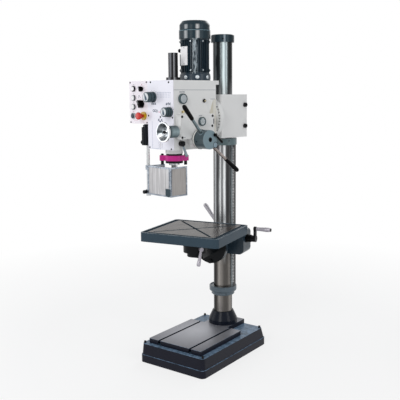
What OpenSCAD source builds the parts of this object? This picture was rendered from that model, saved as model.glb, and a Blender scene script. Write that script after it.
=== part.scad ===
/* [Base] */
// width of the base casting at the floor
base_w = 463; // [440:1:480]
// front edge of the base, measured from the column axis
base_front = 536; // [525:1:550]
// rear edge of the base, measured from the column axis
base_rear = 141; // [130:1:150]
// height of the raised ground pad over the floor
pad_top = 142; // [135:1:150]
// neck width of the T-slots in base and table
slot_w = 14; // [12:1:16]

/* [Column] */
// outside diameter of the column
column_d = 115; // [110:1:118]
// height of the column top over the floor
column_top = 1898; // [1890:1:1905]
// wall of the column tube
column_wall = 8; // [6:1:12]

/* [Rack] */
// module of the lifting rack and its pinion
lift_module = 3; // [3]
// teeth of the lifting pinion
lift_teeth = 14; // [14]
// height of the table pinion axis
lift_z = 700; // [695:1:705]

/* [Table] */
// table width across the machine
table_w = 474; // [450:1:490]
// table depth front to back
table_d = 438; // [410:1:440]
// height of the rim round the table
table_rim_h = 51; // [40:1:51]
// height of the table surface
table_top_z = 811; // [805:1:820]
// distance of the table centre from the column axis
table_reach = 390.5; // [388:0.5:396]
// radius of the tilting index disc
tilt_disc_r = 97; // [95:1:98]
// radius swung by the crank handle
crank_r = 61; // [55:1:70]
// length of the crank handle
crank_grip_l = 88; // [80:1:110]

/* [Head] */
// width of the drill head
head_w = 216.6; // [214:0.2:217]
// height of the swivel axis of the head
swivel_z = 1425; // [1420:1:1430]
// radius of the swivel flange of the head
swivel_r = 127; // [120:1:130]

/* [Gear train] */
// module of the change gears
train_module = 3; // [3]
// teeth of the motor pinion
motor_teeth = 18; // [18]
// teeth of the driven countershaft wheel
counter_big_teeth = 38; // [38]
// teeth of the driving countershaft pinion
counter_small_teeth = 22; // [22]
// teeth of the spindle wheel
drive_teeth = 34; // [34]
// thickness taken off each tooth for free running
tooth_play = 0.35; // [0.3:0.05:0.5]

/* [Motor] */
// outside diameter over the cooling fins
motor_d = 166; // [158:1:168]
// number of cooling fins
fin_count = 36; // [28:1:40]
// outside diameter of the fan cover
fan_cover_d = 180; // [174:0.2:182]

/* [Quill and feed] */
// quill diameter
quill_d = 75; // [74:0.5:76]
// module of the quill rack and its pinion
feed_module = 2.5; // [2.5]
// teeth of the quill pinion
feed_teeth = 15; // [15]
// diameter of the spindle nose
nose_d = 35; // [34:1:40]
// reach of the feed levers from the hub axis
lever_reach = 285; // [260:1:290]
// length of the feed lever grips
grip_l = 110; // [90:1:125]
// diameter of the feed hub
hub_d = 106; // [98:1:108]
// diameter of the fine-feed handwheel
handwheel_d = 108; // [96:1:110]

/* [Controls and guard] */
// width of the control box
control_w = 164.5; // [160:0.5:170]
// depth of the control box
control_depth = 70; // [60:1:80]
// diameter of the push button caps
button_d = 24; // [22:1:24]
// diameter of the emergency stop head
stop_head_d = 42; // [36:1:44]
// width of the chuck guard
guard_w = 199; // [196:1:202]
// depth of the chuck guard
guard_d = 126; // [120:1:130]
// height of the chuck guard
guard_h = 166; // [150:1:166]
// diameter of the guard rod
guard_rod_d = 20; // [18:1:22]

/* [Hidden] */
$fn = 64;
head_yaw = -10;
table_yaw = 10.5;
run = 0.05;
slip = 0.3;
pressure = 20;
column_r = column_d / 2;
column_fit = column_r + run;
base_top = pad_top - 30;
rack_x0 = column_r + 0.8;
rack_x1 = rack_x0 + 21.7;
rack_round = sqrt(rack_x1 * rack_x1 + 15.2 * 15.2) + 0.4;
rack_pitch_y = -9.6;
lift_r = lift_module * lift_teeth / 2;
pinion_y = rack_pitch_y - lift_r;
collar_r = rack_round + 3.3;
collar_seat = 377;
ring_seat = 1273.8;
tilt_z = 660;
hw = head_w / 2;
flange_seat = pad_top - 0.5;
slot_x = 112;
arm_top = 720;
head_bot = 1259.2;
head_seam = 1587;
head_top = 1639.8;
front = -492;
plate_front = -495;
head_back = -168;
spindle_y = -396.3;
train_centre = train_module * (motor_teeth + counter_big_teeth) / 2;
counter_y = spindle_y + train_centre;
motor_y = counter_y + train_centre;
quill_r = quill_d / 2;
feed_r = feed_module * feed_teeth / 2;
hub_y = spindle_y + 31.55 + feed_r;
hub_z = 1317;
feed_x = hw + 41.7;
hub_x0 = feed_x + 18;
hub_x1 = hub_x0 + 73;
lever_tilt = atan(54 / lever_reach);
hub_r = hub_d / 2;
motor_r = motor_d / 2;
cover_r = fan_cover_d / 2;
wheel_x = hw + 21.7;
wheel_z = 1364;
control_x0 = -hw - control_w;
control_z0 = 1399;
rod_x = -130;
rod_y = -482;
rod_r = guard_rod_d / 2;
guard_x0 = -116;
guard_y0 = -500;
guard_z0 = 997;

function involute(a) = tan(a) * 180 / PI - a;
function polar(r, a) = [r * cos(a), r * sin(a)];
function tooth_half(m, n, play, rho) = 90 / n - play / (m * n) * 180 / PI + involute(pressure)
    - involute(acos(min(1, m * n / 2 * cos(pressure) / rho)));
function corner(x, y, r, a0) = [for (i = [0 : 8]) [x + r * cos(a0 + i * 11.25), y + r * sin(a0 + i * 11.25)]];
function rounded(w, d, r) = concat(corner(w / 2 - r, d / 2 - r, r, 0), corner(r - w / 2, d / 2 - r, r, 90),
    corner(r - w / 2, r - d / 2, r, 180), corner(w / 2 - r, r - d / 2, r, 270));

module box(x0, x1, y0, y1, z0, z1) {
    translate([x0, y0, z0]) cube([x1 - x0, y1 - y0, z1 - z0]);
}
module xcyl(r, x0, x1, y, z) {
    translate([x0, y, z]) rotate([0, 90, 0]) cylinder(r = r, h = x1 - x0);
}
module ycyl(r, y0, y1, x, z) {
    translate([x, y1, z]) rotate([90, 0, 0]) cylinder(r = r, h = y1 - y0);
}
module zcyl(r, z0, z1, x = 0, y = 0) {
    translate([x, y, z0]) cylinder(r = r, h = z1 - z0);
}
module hex_x(r, x0, x1, y, z) {
    translate([x0, y, z]) rotate([0, 90, 0]) cylinder(r = r, h = x1 - x0, $fn = 6);
}
module slab(w, d, r, z0, z1, y = 0) {
    translate([0, y, z0]) linear_extrude(z1 - z0) polygon(rounded(w, d, r));
}
module spur(m, n, z0, z1, phase) {
    r = m * n / 2;
    rb = r * cos(pressure);
    ra = r + 0.8 * m;
    rf = r - 1.05 * m;
    rs = max(rb, rf);
    steps = 5;
    outline = [for (k = [0 : n - 1]) let (c = phase + 360 * k / n) each concat(
        [polar(rf, c - tooth_half(m, n, tooth_play, rs) - 0.01)],
        [for (j = [0 : steps]) let (rho = rs + (ra - rs) * j / steps)
            polar(rho, c - tooth_half(m, n, tooth_play, rho))],
        [for (j = [0 : steps]) let (rho = ra - (ra - rs) * j / steps)
            polar(rho, c + tooth_half(m, n, tooth_play, rho))],
        [polar(rf, c + tooth_half(m, n, tooth_play, rs) + 0.01)])];
    translate([0, 0, z0]) linear_extrude(z1 - z0) polygon(outline);
}
module rack_outline(m, k0, k1, z_lo, z_hi, back) {
    p = PI * m;
    tip = 0.8 * m;
    root = 1.05 * m;
    half = p / 4 - tooth_play / 2;
    grow = tan(pressure);
    teeth = [for (k = [k0 : k1]) let (c = p * (k + 0.5)) each [
        [-root, c - half - root * grow],
        [tip, c - half + tip * grow],
        [tip, c + half - tip * grow],
        [-root, c + half + root * grow]]];
    polygon(concat([[-back, z_lo], [-root, z_lo]], teeth, [[-root, z_hi], [-back, z_hi]]));
}
module at_head() {
    rotate([0, 0, head_yaw]) children();
}
module at_table() {
    rotate([0, 0, table_yaw]) children();
}
module at_quill() {
    at_head() translate([0, spindle_y, 0]) children();
}
module at_hub() {
    at_head() translate([0, hub_y, hub_z]) children();
}
module at_motor() {
    at_head() translate([0, motor_y, 0]) children();
}
module lever_pair() {
    at_hub() for (a = [138, 318]) rotate([a, 0, 0]) translate([hub_x0 + 33, 0, 0])
        rotate([-90, 0, -lever_tilt]) children();
}
module t_slot(length, top, deep = 0) {
    translate([-length / 2, -slot_w / 2, top - 13]) cube([length, slot_w, 20]);
    translate([-length / 2, -slot_w / 2 - 5, top - 23 - deep]) cube([length, slot_w + 10, 10.5 + deep]);
}
module at_lock() {
    translate([0, -table_reach, arm_top - 14]) rotate([0, 0, -41]) children();
}
module fluted(r, y0, y1, x, z) {
    translate([x, y1, z]) rotate([90, 0, 0]) linear_extrude(y1 - y0)
        polygon([for (i = [0 : 5 : 355]) polar(r - (i % 20 == 10 ? 1.6 : (i % 20 == 0 ? 0 : 0.4)), i)]);
}

module base() {
    mid = (base_rear - base_front) / 2;
    len = base_rear + base_front;
    stud_x = base_w / 2 - 21.5;
    color("#1F2430") difference() {
        union() {
            slab(base_w, len, 26, 0, 45, mid);
            hull() {
                slab(base_w - 8, len - 8, 24, 45, 46, mid);
                slab(base_w - 19, len - 36, 22, base_top - 1, base_top, mid - 9);
            }
            translate([0, -292.5, 0]) slab(376, 415, 3, base_top - 1, pad_top);
            box(-88, 88, -90, 112, base_top - 1, pad_top);
        }
        difference() {
            box(-base_w / 2 + 40, base_w / 2 - 40, -492, 72, -1, base_top - 20);
            zcyl(96, -2, pad_top);
            box(-8, 8, -500, 0, -2, pad_top);
            box(-300, 300, -200, -184, -2, pad_top);
            box(-300, 300, -350, -334, -2, pad_top);
        }
        box(-88.5, 88.5, -84.9, 113, flange_seat, pad_top + 1);
        zcyl(90.5, flange_seat, pad_top + 1);
        for (s = [-1, 1]) {
            translate([s * slot_x, -292.5, 0]) rotate([0, 0, 90]) t_slot(430, pad_top);
            for (y = [-512, 96]) zcyl(7.05, -1, pad_top, s * stud_x, y);
        }
    }
}
module levelling_studs() {
    color("#101216") for (s = [-1, 1]) for (y = [-512, 96]) translate([s * (base_w / 2 - 21.5), y, 0]) difference() {
        cylinder(r = 7, h = base_top + 12);
        translate([0, 0, base_top + 6]) cylinder(r = 3.6, h = 8, $fn = 6);
    }
}
module column_flange() {
    color("#1C2638") difference() {
        rotate_extrude() polygon([[0, flange_seat], [89.5, flange_seat], [89.5, pad_top + 24], [87, pad_top + 30],
            [66, pad_top + 76], [64, pad_top + 78], [0, pad_top + 78]]);
        zcyl(column_fit, pad_top - 1, pad_top + 80);
    }
}
module column() {
    color("#C9CCCE") difference() {
        zcyl(column_r, flange_seat, column_top);
        zcyl(column_r - column_wall, pad_top - 1, column_top + 1);
    }
}
module column_cap() {
    color("#2C3A44") difference() {
        rotate_extrude() polygon([[0, column_top - 32], [69.2, column_top - 32], [69.2, column_top + 8],
            [65.2, column_top + 12], [0, column_top + 12]]);
        zcyl(column_fit, column_top - 33, column_top);
        rotate([0, 0, -54]) xcyl(4, column_r + 2, 80, 0, column_top - 16);
    }
}
module rack_collars() {
    color("#56626B") {
        difference() {
            rotate_extrude() polygon([[0, collar_seat - 50], [69, collar_seat - 50], [72, collar_seat - 47],
                [72, collar_seat - 27], [collar_r - 3, collar_seat - 27], [collar_r, collar_seat - 23],
                [collar_r, collar_seat + 2], [collar_r - 3, collar_seat + 5], [0, collar_seat + 5]]);
            zcyl(column_fit, collar_seat - 60, collar_seat + 20);
            zcyl(rack_round, collar_seat, collar_seat + 20);
            rotate([0, 0, -40]) xcyl(4, 62, 80, 0, collar_seat - 39);
        }
        difference() {
            zcyl(collar_r, ring_seat - 12, ring_seat + 28);
            zcyl(column_fit, ring_seat - 13, ring_seat + 30);
            zcyl(rack_round, ring_seat - 13, ring_seat);
        }
    }
}
module head_bracket() {
    color("#E6E6E2") at_head() difference() {
        union() {
            box(-hw, hw, -122.5, 97.2, 1309.3, 1561.4);
            ycyl(swivel_r + 3, -150, -122, 0, swivel_z);
        }
        difference() {
            box(-hw + 12, hw - 12, -110, 56, 1308, 1549);
            zcyl(column_r + 16, 1300, 1570);
        }
        zcyl(column_fit, 1300, 1570);
        box(-4, 4, 40, 98, 1300, 1570);
        ycyl(40.05, -151, -108, 0, swivel_z);
        for (z = [1375, 1500]) xcyl(8.05, -hw - 1, hw + 1, 77, z);
    }
}
module bracket_bolts() {
    color("#15171A") at_head() for (z = [1375, 1500]) {
        xcyl(8, -hw - 16, hw + 2, 77, z);
        difference() {
            xcyl(13, hw, hw + 12, 77, z);
            hex_x(7, hw + 5, hw + 13, 77, z);
        }
        hex_x(13.5, -hw - 13, -hw, 77, z);
    }
}
module rack() {
    color("#8F979C") at_table() translate([rack_x0, rack_pitch_y, lift_z]) rotate([0, 0, -90])
        rotate([90, 0, 0]) rotate([0, 0, 0]) mirror([0, 0, 1]) linear_extrude(rack_x1 - rack_x0)
        rack_outline(lift_module, -31, 57, collar_seat + 0.1 - lift_z, ring_seat - 0.2 - lift_z, 24.6);
}
module table_bracket() {
    color("#2E3A43") at_table() difference() {
        union() {
            zcyl(85, 600, 757);
            xcyl(50, 40, 170, pinion_y, lift_z);
            translate([0, 36, 0]) rotate([90, 0, 0]) linear_extrude(86 - pinion_y) polygon(concat([[40, 605]],
                [for (a = [-90 : 15 : 0]) [140 + 30 * cos(a), 635 + 30 * sin(a)]],
                [for (a = [0 : 15 : 90]) [148 + 22 * cos(a), 730 + 22 * sin(a)]], [[40, 752]]));
            box(-52, 52, -152, -50, 600, 735);
            ycyl(tilt_disc_r, -168, -148, 0, tilt_z);
            box(-30, 30, 50, 115, 685, 745);
        }
        zcyl(column_fit, 500, 800);
        box(column_r - 4, rack_x1 + slip, -12.6, 15 + slip, 500, 800);
        xcyl(lift_r + 4.5, 54, rack_x1 + 2, pinion_y, lift_z);
        xcyl(12.05, 50, 172, pinion_y, lift_z);
        box(-3, 3, 50, 116, 500, 800);
        xcyl(8.05, -31, 31, 97, 715);
        ycyl(30.05, -169, -108, 0, tilt_z);
        difference() {
            ycyl(94, -169, -158, 0, tilt_z);
            ycyl(76, -170, -157, 0, tilt_z);
        }
    }
}
module crank_bush() {
    color("#14161A") at_table() difference() {
        union() {
            xcyl(23, 170, 200, pinion_y, lift_z);
            xcyl(27, 170, 176, pinion_y, lift_z);
        }
        xcyl(12.05, 169, 201, pinion_y, lift_z);
    }
}
module crank() {
    x0 = rack_x0 + 2;
    color("#1A1C20") at_table() {
        translate([x0, pinion_y, lift_z]) rotate([0, 90, 0])
            spur(lift_module, lift_teeth, 0, rack_x1 - x0 - 0.5, 90);
        xcyl(12, x0, 214, pinion_y, lift_z);
        xcyl(20, 202, 232, pinion_y, lift_z);
        xcyl(14, 218, 232, pinion_y, lift_z + crank_r);
        box(218, 232, pinion_y - 10, pinion_y + 10, lift_z, lift_z + crank_r);
        xcyl(6, 230, 234 + crank_grip_l + 2, pinion_y, lift_z + crank_r);
        xcyl(10, 234 + crank_grip_l + 0.5, 234 + crank_grip_l + 4, pinion_y, lift_z + crank_r);
    }
}
module crank_handle() {
    l = crank_grip_l;
    color("#B9BDC0") at_table() translate([232.5, pinion_y, lift_z + crank_r]) rotate([0, 90, 0]) difference() {
        rotate_extrude() polygon([[0, 0], [9, 0], [11, 4], [11.5, l * 0.3], [13.5, l * 0.7], [13.2, l * 0.9],
            [11, l + 1], [0, l + 1]]);
        translate([0, 0, -1]) cylinder(r = 6.06, h = l + 3);
    }
}
module column_clamp_lever() {
    tip = [-171, 97, 871];
    lean = atan(116 / 156);
    color("#1B1D20") at_table() {
        xcyl(8, -47, 40, 97, 715);
        hex_x(13, 30.2, 42, 97, 715);
        difference() {
            xcyl(15, -64, -30.2, 97, 715);
            xcyl(7, -65, -60, 97, 715);
        }
        translate([-55, 97, 715]) rotate([0, -lean, 0]) cylinder(r = 7, h = 60);
        translate([-55, 97, 715]) rotate([0, -lean, 0]) translate([0, 0, 58]) rotate_extrude()
            polygon([[0, 0], [9, 0], [10.5, 3], [14, 122], [12, 131], [7, 136], [0, 137]]);
    }
}
module table_arm() {
    reach = table_reach;
    color("#22262B") at_table() difference() {
        union() {
            ycyl(tilt_disc_r, -188, -168.3, 0, tilt_z);
            ycyl(30, -169, -110, 0, tilt_z);
            box(-38, 38, -reach + 20, -186, arm_top - 85, arm_top);
            zcyl(69, arm_top - 42, arm_top, 0, -reach);
            zcyl(48, arm_top - 67, arm_top - 41, 0, -reach);
            at_lock() xcyl(12, 50, 72, 0, 0);
        }
        zcyl(35.05, arm_top - 43, arm_top + 1, 0, -reach);
        at_lock() xcyl(6.05, 40, 73, 0, 0);
        for (a = [35, 145, 270]) ycyl(8.05, -189, -167, 85 * cos(a), tilt_z + 85 * sin(a));
    }
}
module tilt_bolts() {
    color("#15171A") at_table() for (a = [35, 145, 270]) {
        x = 85 * cos(a);
        z = tilt_z + 85 * sin(a);
        ycyl(8, -200, -160, x, z);
        translate([x, -188, z]) rotate([90, 0, 0]) cylinder(r = 13, h = 11, $fn = 6);
    }
}
module table_top() {
    reach = table_reach;
    top = table_top_z;
    color("#3A4A54") at_table() translate([0, -reach, 0]) difference() {
        union() {
            slab(table_w, table_d, 20, top - table_rim_h, top);
            zcyl(80, arm_top + 0.2, top - 20);
            zcyl(35, arm_top - 41, arm_top + 1);
        }
        difference() {
            slab(table_w - 24, table_d - 24, 12, top - table_rim_h - 1, top - 30);
            zcyl(81, 600, top);
            for (a = [45, 135]) rotate([0, 0, a]) box(-400, 400, -22, 22, 600, top);
            box(-300, 300, -6, 6, 600, top);
        }
        difference() {
            slab(table_w - 18, table_d - 18, 14, top - 6, top + 1);
            slab(table_w - 68, table_d - 60, 8, top - 7, top + 2);
        }
        for (a = [45, 135]) rotate([0, 0, a]) t_slot(490, top);
        zcyl(15, top - 32, top + 1);
    }
}
module table_lock_lever() {
    color("#B4B8BA") at_table() at_lock() {
        xcyl(6, 41, 78, 0, 0);
        xcyl(12, 72.3, 88, 0, 0);
        translate([80, 0, 0]) rotate([-14, 0, 0]) rotate([180, -8, 0]) rotate_extrude()
            polygon([[0, 0], [6.5, 0], [7, 20], [11.5, 86], [9, 95], [0, 97]]);
    }
}
module head_casting() {
    color("#E9E9E6") at_head() difference() {
        union() {
            box(-hw, hw, front, head_back, head_bot, head_seam);
            zcyl(50, head_bot - 27, head_bot + 1, 0, spindle_y);
            ycyl(swivel_r, head_back - 1, -150.3, 0, swivel_z);
            ycyl(40, -151, -124, 0, swivel_z);
            box(-hw - 3, hw + 3, -216, head_back, 1300, 1537);
        }
        box(-96, 96, -480, -180, 1476, head_seam + 1);
        difference() {
            box(-96, 96, -480, -180, 1275, 1464);
            zcyl(quill_r + 19, 1270, 1470, 0, spindle_y);
            box(-40, 97, hub_y - 31, hub_y + 31, 1270, hub_z + 31);
            zcyl(18, 1440, 1470, 0, counter_y);
            box(50, 97, -465, -425, 1270, 1310);
            box(-97, -60, -496, -462, 1270, 1464);
        }
        zcyl(quill_r + run, 1200, 1464, 0, spindle_y);
        zcyl(25.05, 1460, 1480, 0, spindle_y);
        zcyl(10.05, 1452, 1480, 0, counter_y);
        zcyl(12, 1460, 1480, 60, -225);
        xcyl(feed_r + 2.75, -11, hw + 4, hub_y, hub_z);
        xcyl(12.05, -34, 0, hub_y, hub_z);
        xcyl(6.05, 52, hw + 4, -445, 1295);
        ycyl(8.05, -493, -475, -60, 1549);
        ycyl(8.05, -493, -481.5, 78, 1468);
    }
}
module head_lid() {
    lip = -143.7;
    top = head_top;
    color("#E9E9E6") at_head() difference() {
        union() {
            box(-hw, hw, front, head_back, head_seam, top);
            box(-hw, hw, head_back - 1, lip, 1617, top);
        }
        difference() {
            box(-96, 96, -480, -180, head_seam - 1, top - 10);
            zcyl(30, head_seam, top, 0, spindle_y);
            zcyl(18, head_seam, top, 0, counter_y);
        }
        zcyl(20.05, head_seam - 1, head_seam + 22, 0, spindle_y);
        zcyl(16, head_seam - 1, top + 1, 0, spindle_y);
        zcyl(10.05, head_seam - 1, 1612, 0, counter_y);
        zcyl(16, head_seam, top + 1, 0, motor_y);
    }
}
module front_plate() {
    color("#ECECF4") at_head() difference() {
        box(-hw, hw, plate_front, front, head_bot, head_top);
        box(-6, 2, -500, -490, 1270, 1301);
        ycyl(8.05, -500, -490, -60, 1549);
        ycyl(8.05, -500, -490, 78, 1468);
    }
}
module feed_housing() {
    x0 = hw;
    x1 = feed_x;
    color("#EDEDEA") at_head() difference() {
        union() {
            box(x0, x1, -479, -226, 1320, 1455);
            xcyl(48, x0, x1 + 5, hub_y, hub_z);
            xcyl(feed_r + 2.7, 26, x0 + 1, hub_y, hub_z);
            ycyl(20, -496.5, -478, wheel_x, wheel_z);
        }
        difference() {
            box(x0 - 1, x1 - 6, -473, -232, 1326, 1449);
            xcyl(40, 0, x1, hub_y, hub_z);
            box(x0 - 2, x1, -474, -438, wheel_z - 22, wheel_z + 22);
        }
        xcyl(12.05, 25, x1 + 6, hub_y, hub_z);
        ycyl(8.05, -498, -445, wheel_x, wheel_z);
    }
}
module shaft_cap() {
    color("#7D868A") at_head() translate([hw, -430, 1539]) rotate([0, 90, 0]) rotate_extrude()
        polygon([[0, 0], [28.5, 0], [28.5, 13], [26.5, 15], [24, 15], [22, 13], [0, 13]]);
}
module sight_glass() {
    color("#B8BCC0") at_head() translate([feed_x, -325, 1414]) rotate([0, 90, 0]) rotate_extrude()
        polygon([[0, 0], [24, 0], [24, 5], [22, 7], [18, 7], [17, 3], [0, 3]]);
}
module oil_fittings() {
    color("#B08D45") at_head() {
        hex_x(11, hw, hw + 7, -264, 1527);
        xcyl(7.5, hw + 6.5, hw + 11, -264, 1527);
        xcyl(5, hw, hw + 12, -429, 1468);
        hex_x(7, hw, hw + 7, -429, 1468);
        zcyl(4, 1463, 1476, hw + 9, -429);
    }
}
module spindle_tube() {
    color("#14171B") at_quill() difference() {
        union() {
            zcyl(40, head_top, head_top + 17);
            zcyl(26.9, head_top + 16, 1791);
        }
        zcyl(20, head_top - 1, 1786);
    }
}
module motor_flange() {
    color("#2B3942") at_motor() difference() {
        rotate_extrude() polygon([[0, head_top], [88, head_top], [88, head_top + 35], [84, head_top + 39],
            [0, head_top + 39]]);
        difference() {
            zcyl(77, head_top + 8, head_top + 31);
            zcyl(24, head_top, head_top + 39);
        }
        zcyl(12.05, head_top - 1, head_top + 40);
        for (a = [0 : 45 : 315]) rotate([0, 0, a + 10]) xcyl(8.5, 60, 90, 0, head_top + 19.5);
    }
}
module motor_body() {
    z0 = head_top + 39;
    z1 = 1874;
    core = motor_r - 10;
    step = 360 / fin_count;
    tip = motor_r - 0.8;
    outline = [for (k = [0 : fin_count - 1]) let (a = k * step) each [polar(core, a - 1.6), polar(tip, a - 1),
        polar(tip, a + 1), polar(core, a + 1.6), polar(core, a + step / 2)]];
    color("#34454F") at_motor() difference() {
        union() {
            translate([0, 0, z0]) linear_extrude(z1 - z0) polygon(outline);
            zcyl(motor_r, z0, z0 + 7);
            zcyl(motor_r, z1 - 7, z1);
            box(-29, 29, -motor_r - 1.5, -60, 1725, 1831);
            rotate([0, 0, 160]) box(60, 124, -38, 38, 1732, 1792);
            rotate([0, 0, 160]) box(124, 128, -41, 41, 1729, 1795);
        }
        zcyl(12.05, z0 - 1, z1 + 1);
        rotate([0, 0, 160]) box(motor_r + 3, 125, -34, 34, 1736, 1788);
    }
}
module fan_cover() {
    r = cover_r;
    color("#34454F") at_motor() difference() {
        rotate_extrude() polygon([[motor_r - 6, 1874], [r, 1874], [r, 1922], [r - 3, 1924], [r - 3, 1951],
            [r - 6, 1957], [71, 1973], [0, 1973], [0, 1970.4], [70, 1970.4], [r - 8, 1955.6], [r - 6, 1950],
            [r - 6, 1922], [r - 3, 1920], [r - 3, 1876.5], [motor_r - 6, 1876.5]]);
        for (a = [0 : 15 : 345]) rotate([0, 0, a]) box(20, 52, -2.4, 2.4, 1960, 1980);
        for (a = [7.5 : 15 : 352.5]) rotate([0, 0, a]) box(34, 54, -2, 2, 1960, 1980);
    }
}
module motor_rotor() {
    color("#9AA1A6") at_motor() {
        zcyl(12, 1538, 1944);
        spur(train_module, motor_teeth, 1538, 1566, -90);
        zcyl(26, 1894, 1940);
        for (a = [0 : 45 : 315]) rotate([0, 0, a]) box(20, 72, -1.5, 1.5, 1896, 1938);
    }
}
module countershaft() {
    color("#A3A8AC") at_head() translate([0, counter_y, 0]) {
        zcyl(10, 1453, 1608);
        zcyl(14, 1478, 1584);
        spur(train_module, counter_small_teeth, 1489, 1526, -90);
        spur(train_module, counter_big_teeth, 1541, 1563, 90 + 180 / counter_big_teeth);
    }
}
module drive_gear() {
    color("#A3A8AC") at_quill() difference() {
        union() {
            zcyl(25, 1466.5, 1478);
            zcyl(30, 1476.3, 1492);
            spur(train_module, drive_teeth, 1491, 1524, 90 + 180 / drive_teeth);
            zcyl(20, 1523, 1604);
        }
        difference() {
            zcyl(15.3, 1460, 1610);
            for (a = [0 : 60 : 300]) rotate([0, 0, a + 30]) box(12.9, 18, -3.4, 3.4, 1450, 1620);
        }
    }
}
module spindle() {
    color("#B5B9BC") at_quill() difference() {
        union() {
            zcyl(nose_d / 2, 1128, 1168);
            zcyl(30, 1167, 1179.7);
            zcyl(22, 1179, 1461);
            zcyl(26, 1460.3, 1463);
            zcyl(15, 1460, 1700);
        }
        for (a = [0 : 60 : 300]) rotate([0, 0, a + 30]) box(12.5, 18, -3.7, 3.7, 1463.01, 1701);
        translate([0, 0, 1127.9]) cylinder(r1 = 11.9, r2 = 9.7, h = 88);
        box(-4, 4, -25, 25, 1208, 1240);
    }
}
module quill() {
    slot = 10;
    color("#C4C8CA") at_quill() difference() {
        zcyl(quill_r, 1180, 1460);
        zcyl(22.05, 1179, 1461);
        difference() {
            box(-slot, slot, 28, 60, 1293, 1461);
            translate([-30, 31.55, hub_z]) rotate([90, 0, 90]) linear_extrude(60)
                rack_outline(feed_module, -3, 17, -24.2, 145, 10);
        }
    }
}
module depth_stop_ring() {
    color("#C4208A") at_quill() difference() {
        union() {
            zcyl(56, 1192, 1222);
            rotate([0, 0, 225]) box(30, 83, -13, 13, 1192, 1222);
            translate([0, 0, 1192]) rotate([0, 0, 45]) linear_extrude(30)
                polygon([[24, -46], [58, -22], [82, -10], [82, 8], [48, 24]]);
        }
        zcyl(quill_r + run, 1190, 1230);
        rotate([0, 0, 45]) for (x = [-68, 64]) zcyl(5.05, 1190, 1230, x, 0);
        rotate([0, 0, 45]) box(-90, -30, -1.5, 1.5, 1190, 1230);
    }
}
module stop_screws() {
    color("#14161A") at_quill() {
        difference() {
            zcyl(46, 1222, 1231);
            zcyl(quill_r + run, 1220, 1232);
        }
        difference() {
            zcyl(50, 1178, 1192);
            zcyl(quill_r + run, 1177, 1193);
        }
        rotate([0, 0, 45]) for (x = [-68, 64]) {
            zcyl(5, 1168, 1232, x);
            zcyl(9, 1168, 1192, x);
            translate([x, 0, 1222]) cylinder(r = 8.5, h = 8, $fn = 6);
        }
    }
}
module feed_hub() {
    color("#6E7D84") at_hub() difference() {
        union() {
            xcyl(12, -31, hub_x0 + 1, 0, 0);
            translate([-9, 0, 0]) rotate([0, 90, 0]) spur(feed_module, feed_teeth, 0, 18, -90);
            xcyl(30, feed_x + 6, hub_x0 + 1, 0, 0);
            translate([hub_x0, 0, 0]) rotate([0, 90, 0]) rotate_extrude() polygon([[0, 0], [hub_r, 0],
                [hub_r, 71], [hub_r - 2, 73], [0, 73]]);
        }
        for (a = [138, 318]) rotate([a, 0, 0]) translate([hub_x0 + 33, 0, 0]) rotate([-90, 0, -lever_tilt])
            translate([0, 0, 22]) cylinder(r1 = 9.54, r2 = 9.13, h = 60);
        hex_x(10, hub_x1 - 8, hub_x1 + 1, 0, 0);
        xcyl(5.05, hub_x1 - 20, hub_x1 + 1, 33, 25);
    }
}
module graduated_ring() {
    color("#F2F2F0") at_hub() difference() {
        xcyl(hub_r + 1.5, feed_x + 5.5, hub_x0, 0, 0);
        xcyl(30.05, feed_x, hub_x0 + 1, 0, 0);
    }
}
module feed_levers() {
    color("#C6C9CB") lever_pair() translate([0, 0, 22.1]) cylinder(r1 = 9.5, r2 = 7.85, h = lever_reach - 42);
}
module lever_grips() {
    g = grip_l;
    color("#111214") lever_pair() translate([0, 0, lever_reach - g]) difference() {
        rotate_extrude() polygon([[0, 0], [10.2, 0], [11, 3], [12.6, g * 0.55], [12.8, g * 0.85], [11, g * 0.95],
            [6.5, g], [0, g]]);
        translate([0, 0, -1]) cylinder(r1 = 8.51, r2 = 7.885, h = g - 18);
    }
}
module hub_clamp_lever() {
    color("#131416") at_hub() {
        xcyl(5, hub_x1 - 19.5, hub_x1 + 2, 33, 25);
        xcyl(9, hub_x1 + 0.3, hub_x1 + 13, 33, 25);
        translate([hub_x1 + 8, 33, 25]) rotate([-129.7, 0, 0]) rotate_extrude()
            polygon([[0, 0], [4.5, 0], [4.5, 12], [7, 62], [5.5, 68], [0, 69]]);
    }
}
module fine_feed_wheel() {
    r = handwheel_d / 2;
    color("#D4D6D8") at_head() translate([wheel_x, 0, wheel_z]) {
        rotate([90, 0, 0]) translate([0, 0, 550]) rotate_extrude() polygon([[0, 0.5], [20, 0.5], [22, 4], [24, 22],
            [r - 8, 31], [r - 2, 31.5], [r, 34], [r, 40], [r - 3, 43], [r - 8, 43], [r - 11, 40], [26, 26], [16, 26],
            [14, 30], [0, 30]]);
        ycyl(8, -551, -447, 0, 0);
    }
}
module fine_feed_dial() {
    color("#5E6E70") at_head() difference() {
        translate([wheel_x, -497, wheel_z]) rotate([90, 0, 0]) rotate_extrude() polygon([[0, 0], [31, 0], [33, 3],
            [33, 50], [30, 53], [0, 53]]);
        ycyl(8.05, -560, -490, wheel_x, wheel_z);
    }
}
module selector(x, z, r, l, stem) {
    at_head() {
        difference() {
            union() {
                fluted(r, plate_front - l + 2, plate_front - 12, x, z);
                ycyl(r - 3, plate_front - l, plate_front - l + 3, x, z);
                ycyl(r + 1, plate_front - 12.5, plate_front - 0.3, x, z);
            }
            ycyl(r - 5, plate_front - l - 1, plate_front - l + 2, x, z);
        }
        ycyl(8, plate_front - 2, stem, x, z);
    }
}
module gear_selector_1() {
    color("#6B757A") selector(-60, 1549, 28.5, 55, -474);
}
module gear_selector_2() {
    color("#6B757A") selector(78, 1468, 26, 46, -482.5);
}
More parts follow.
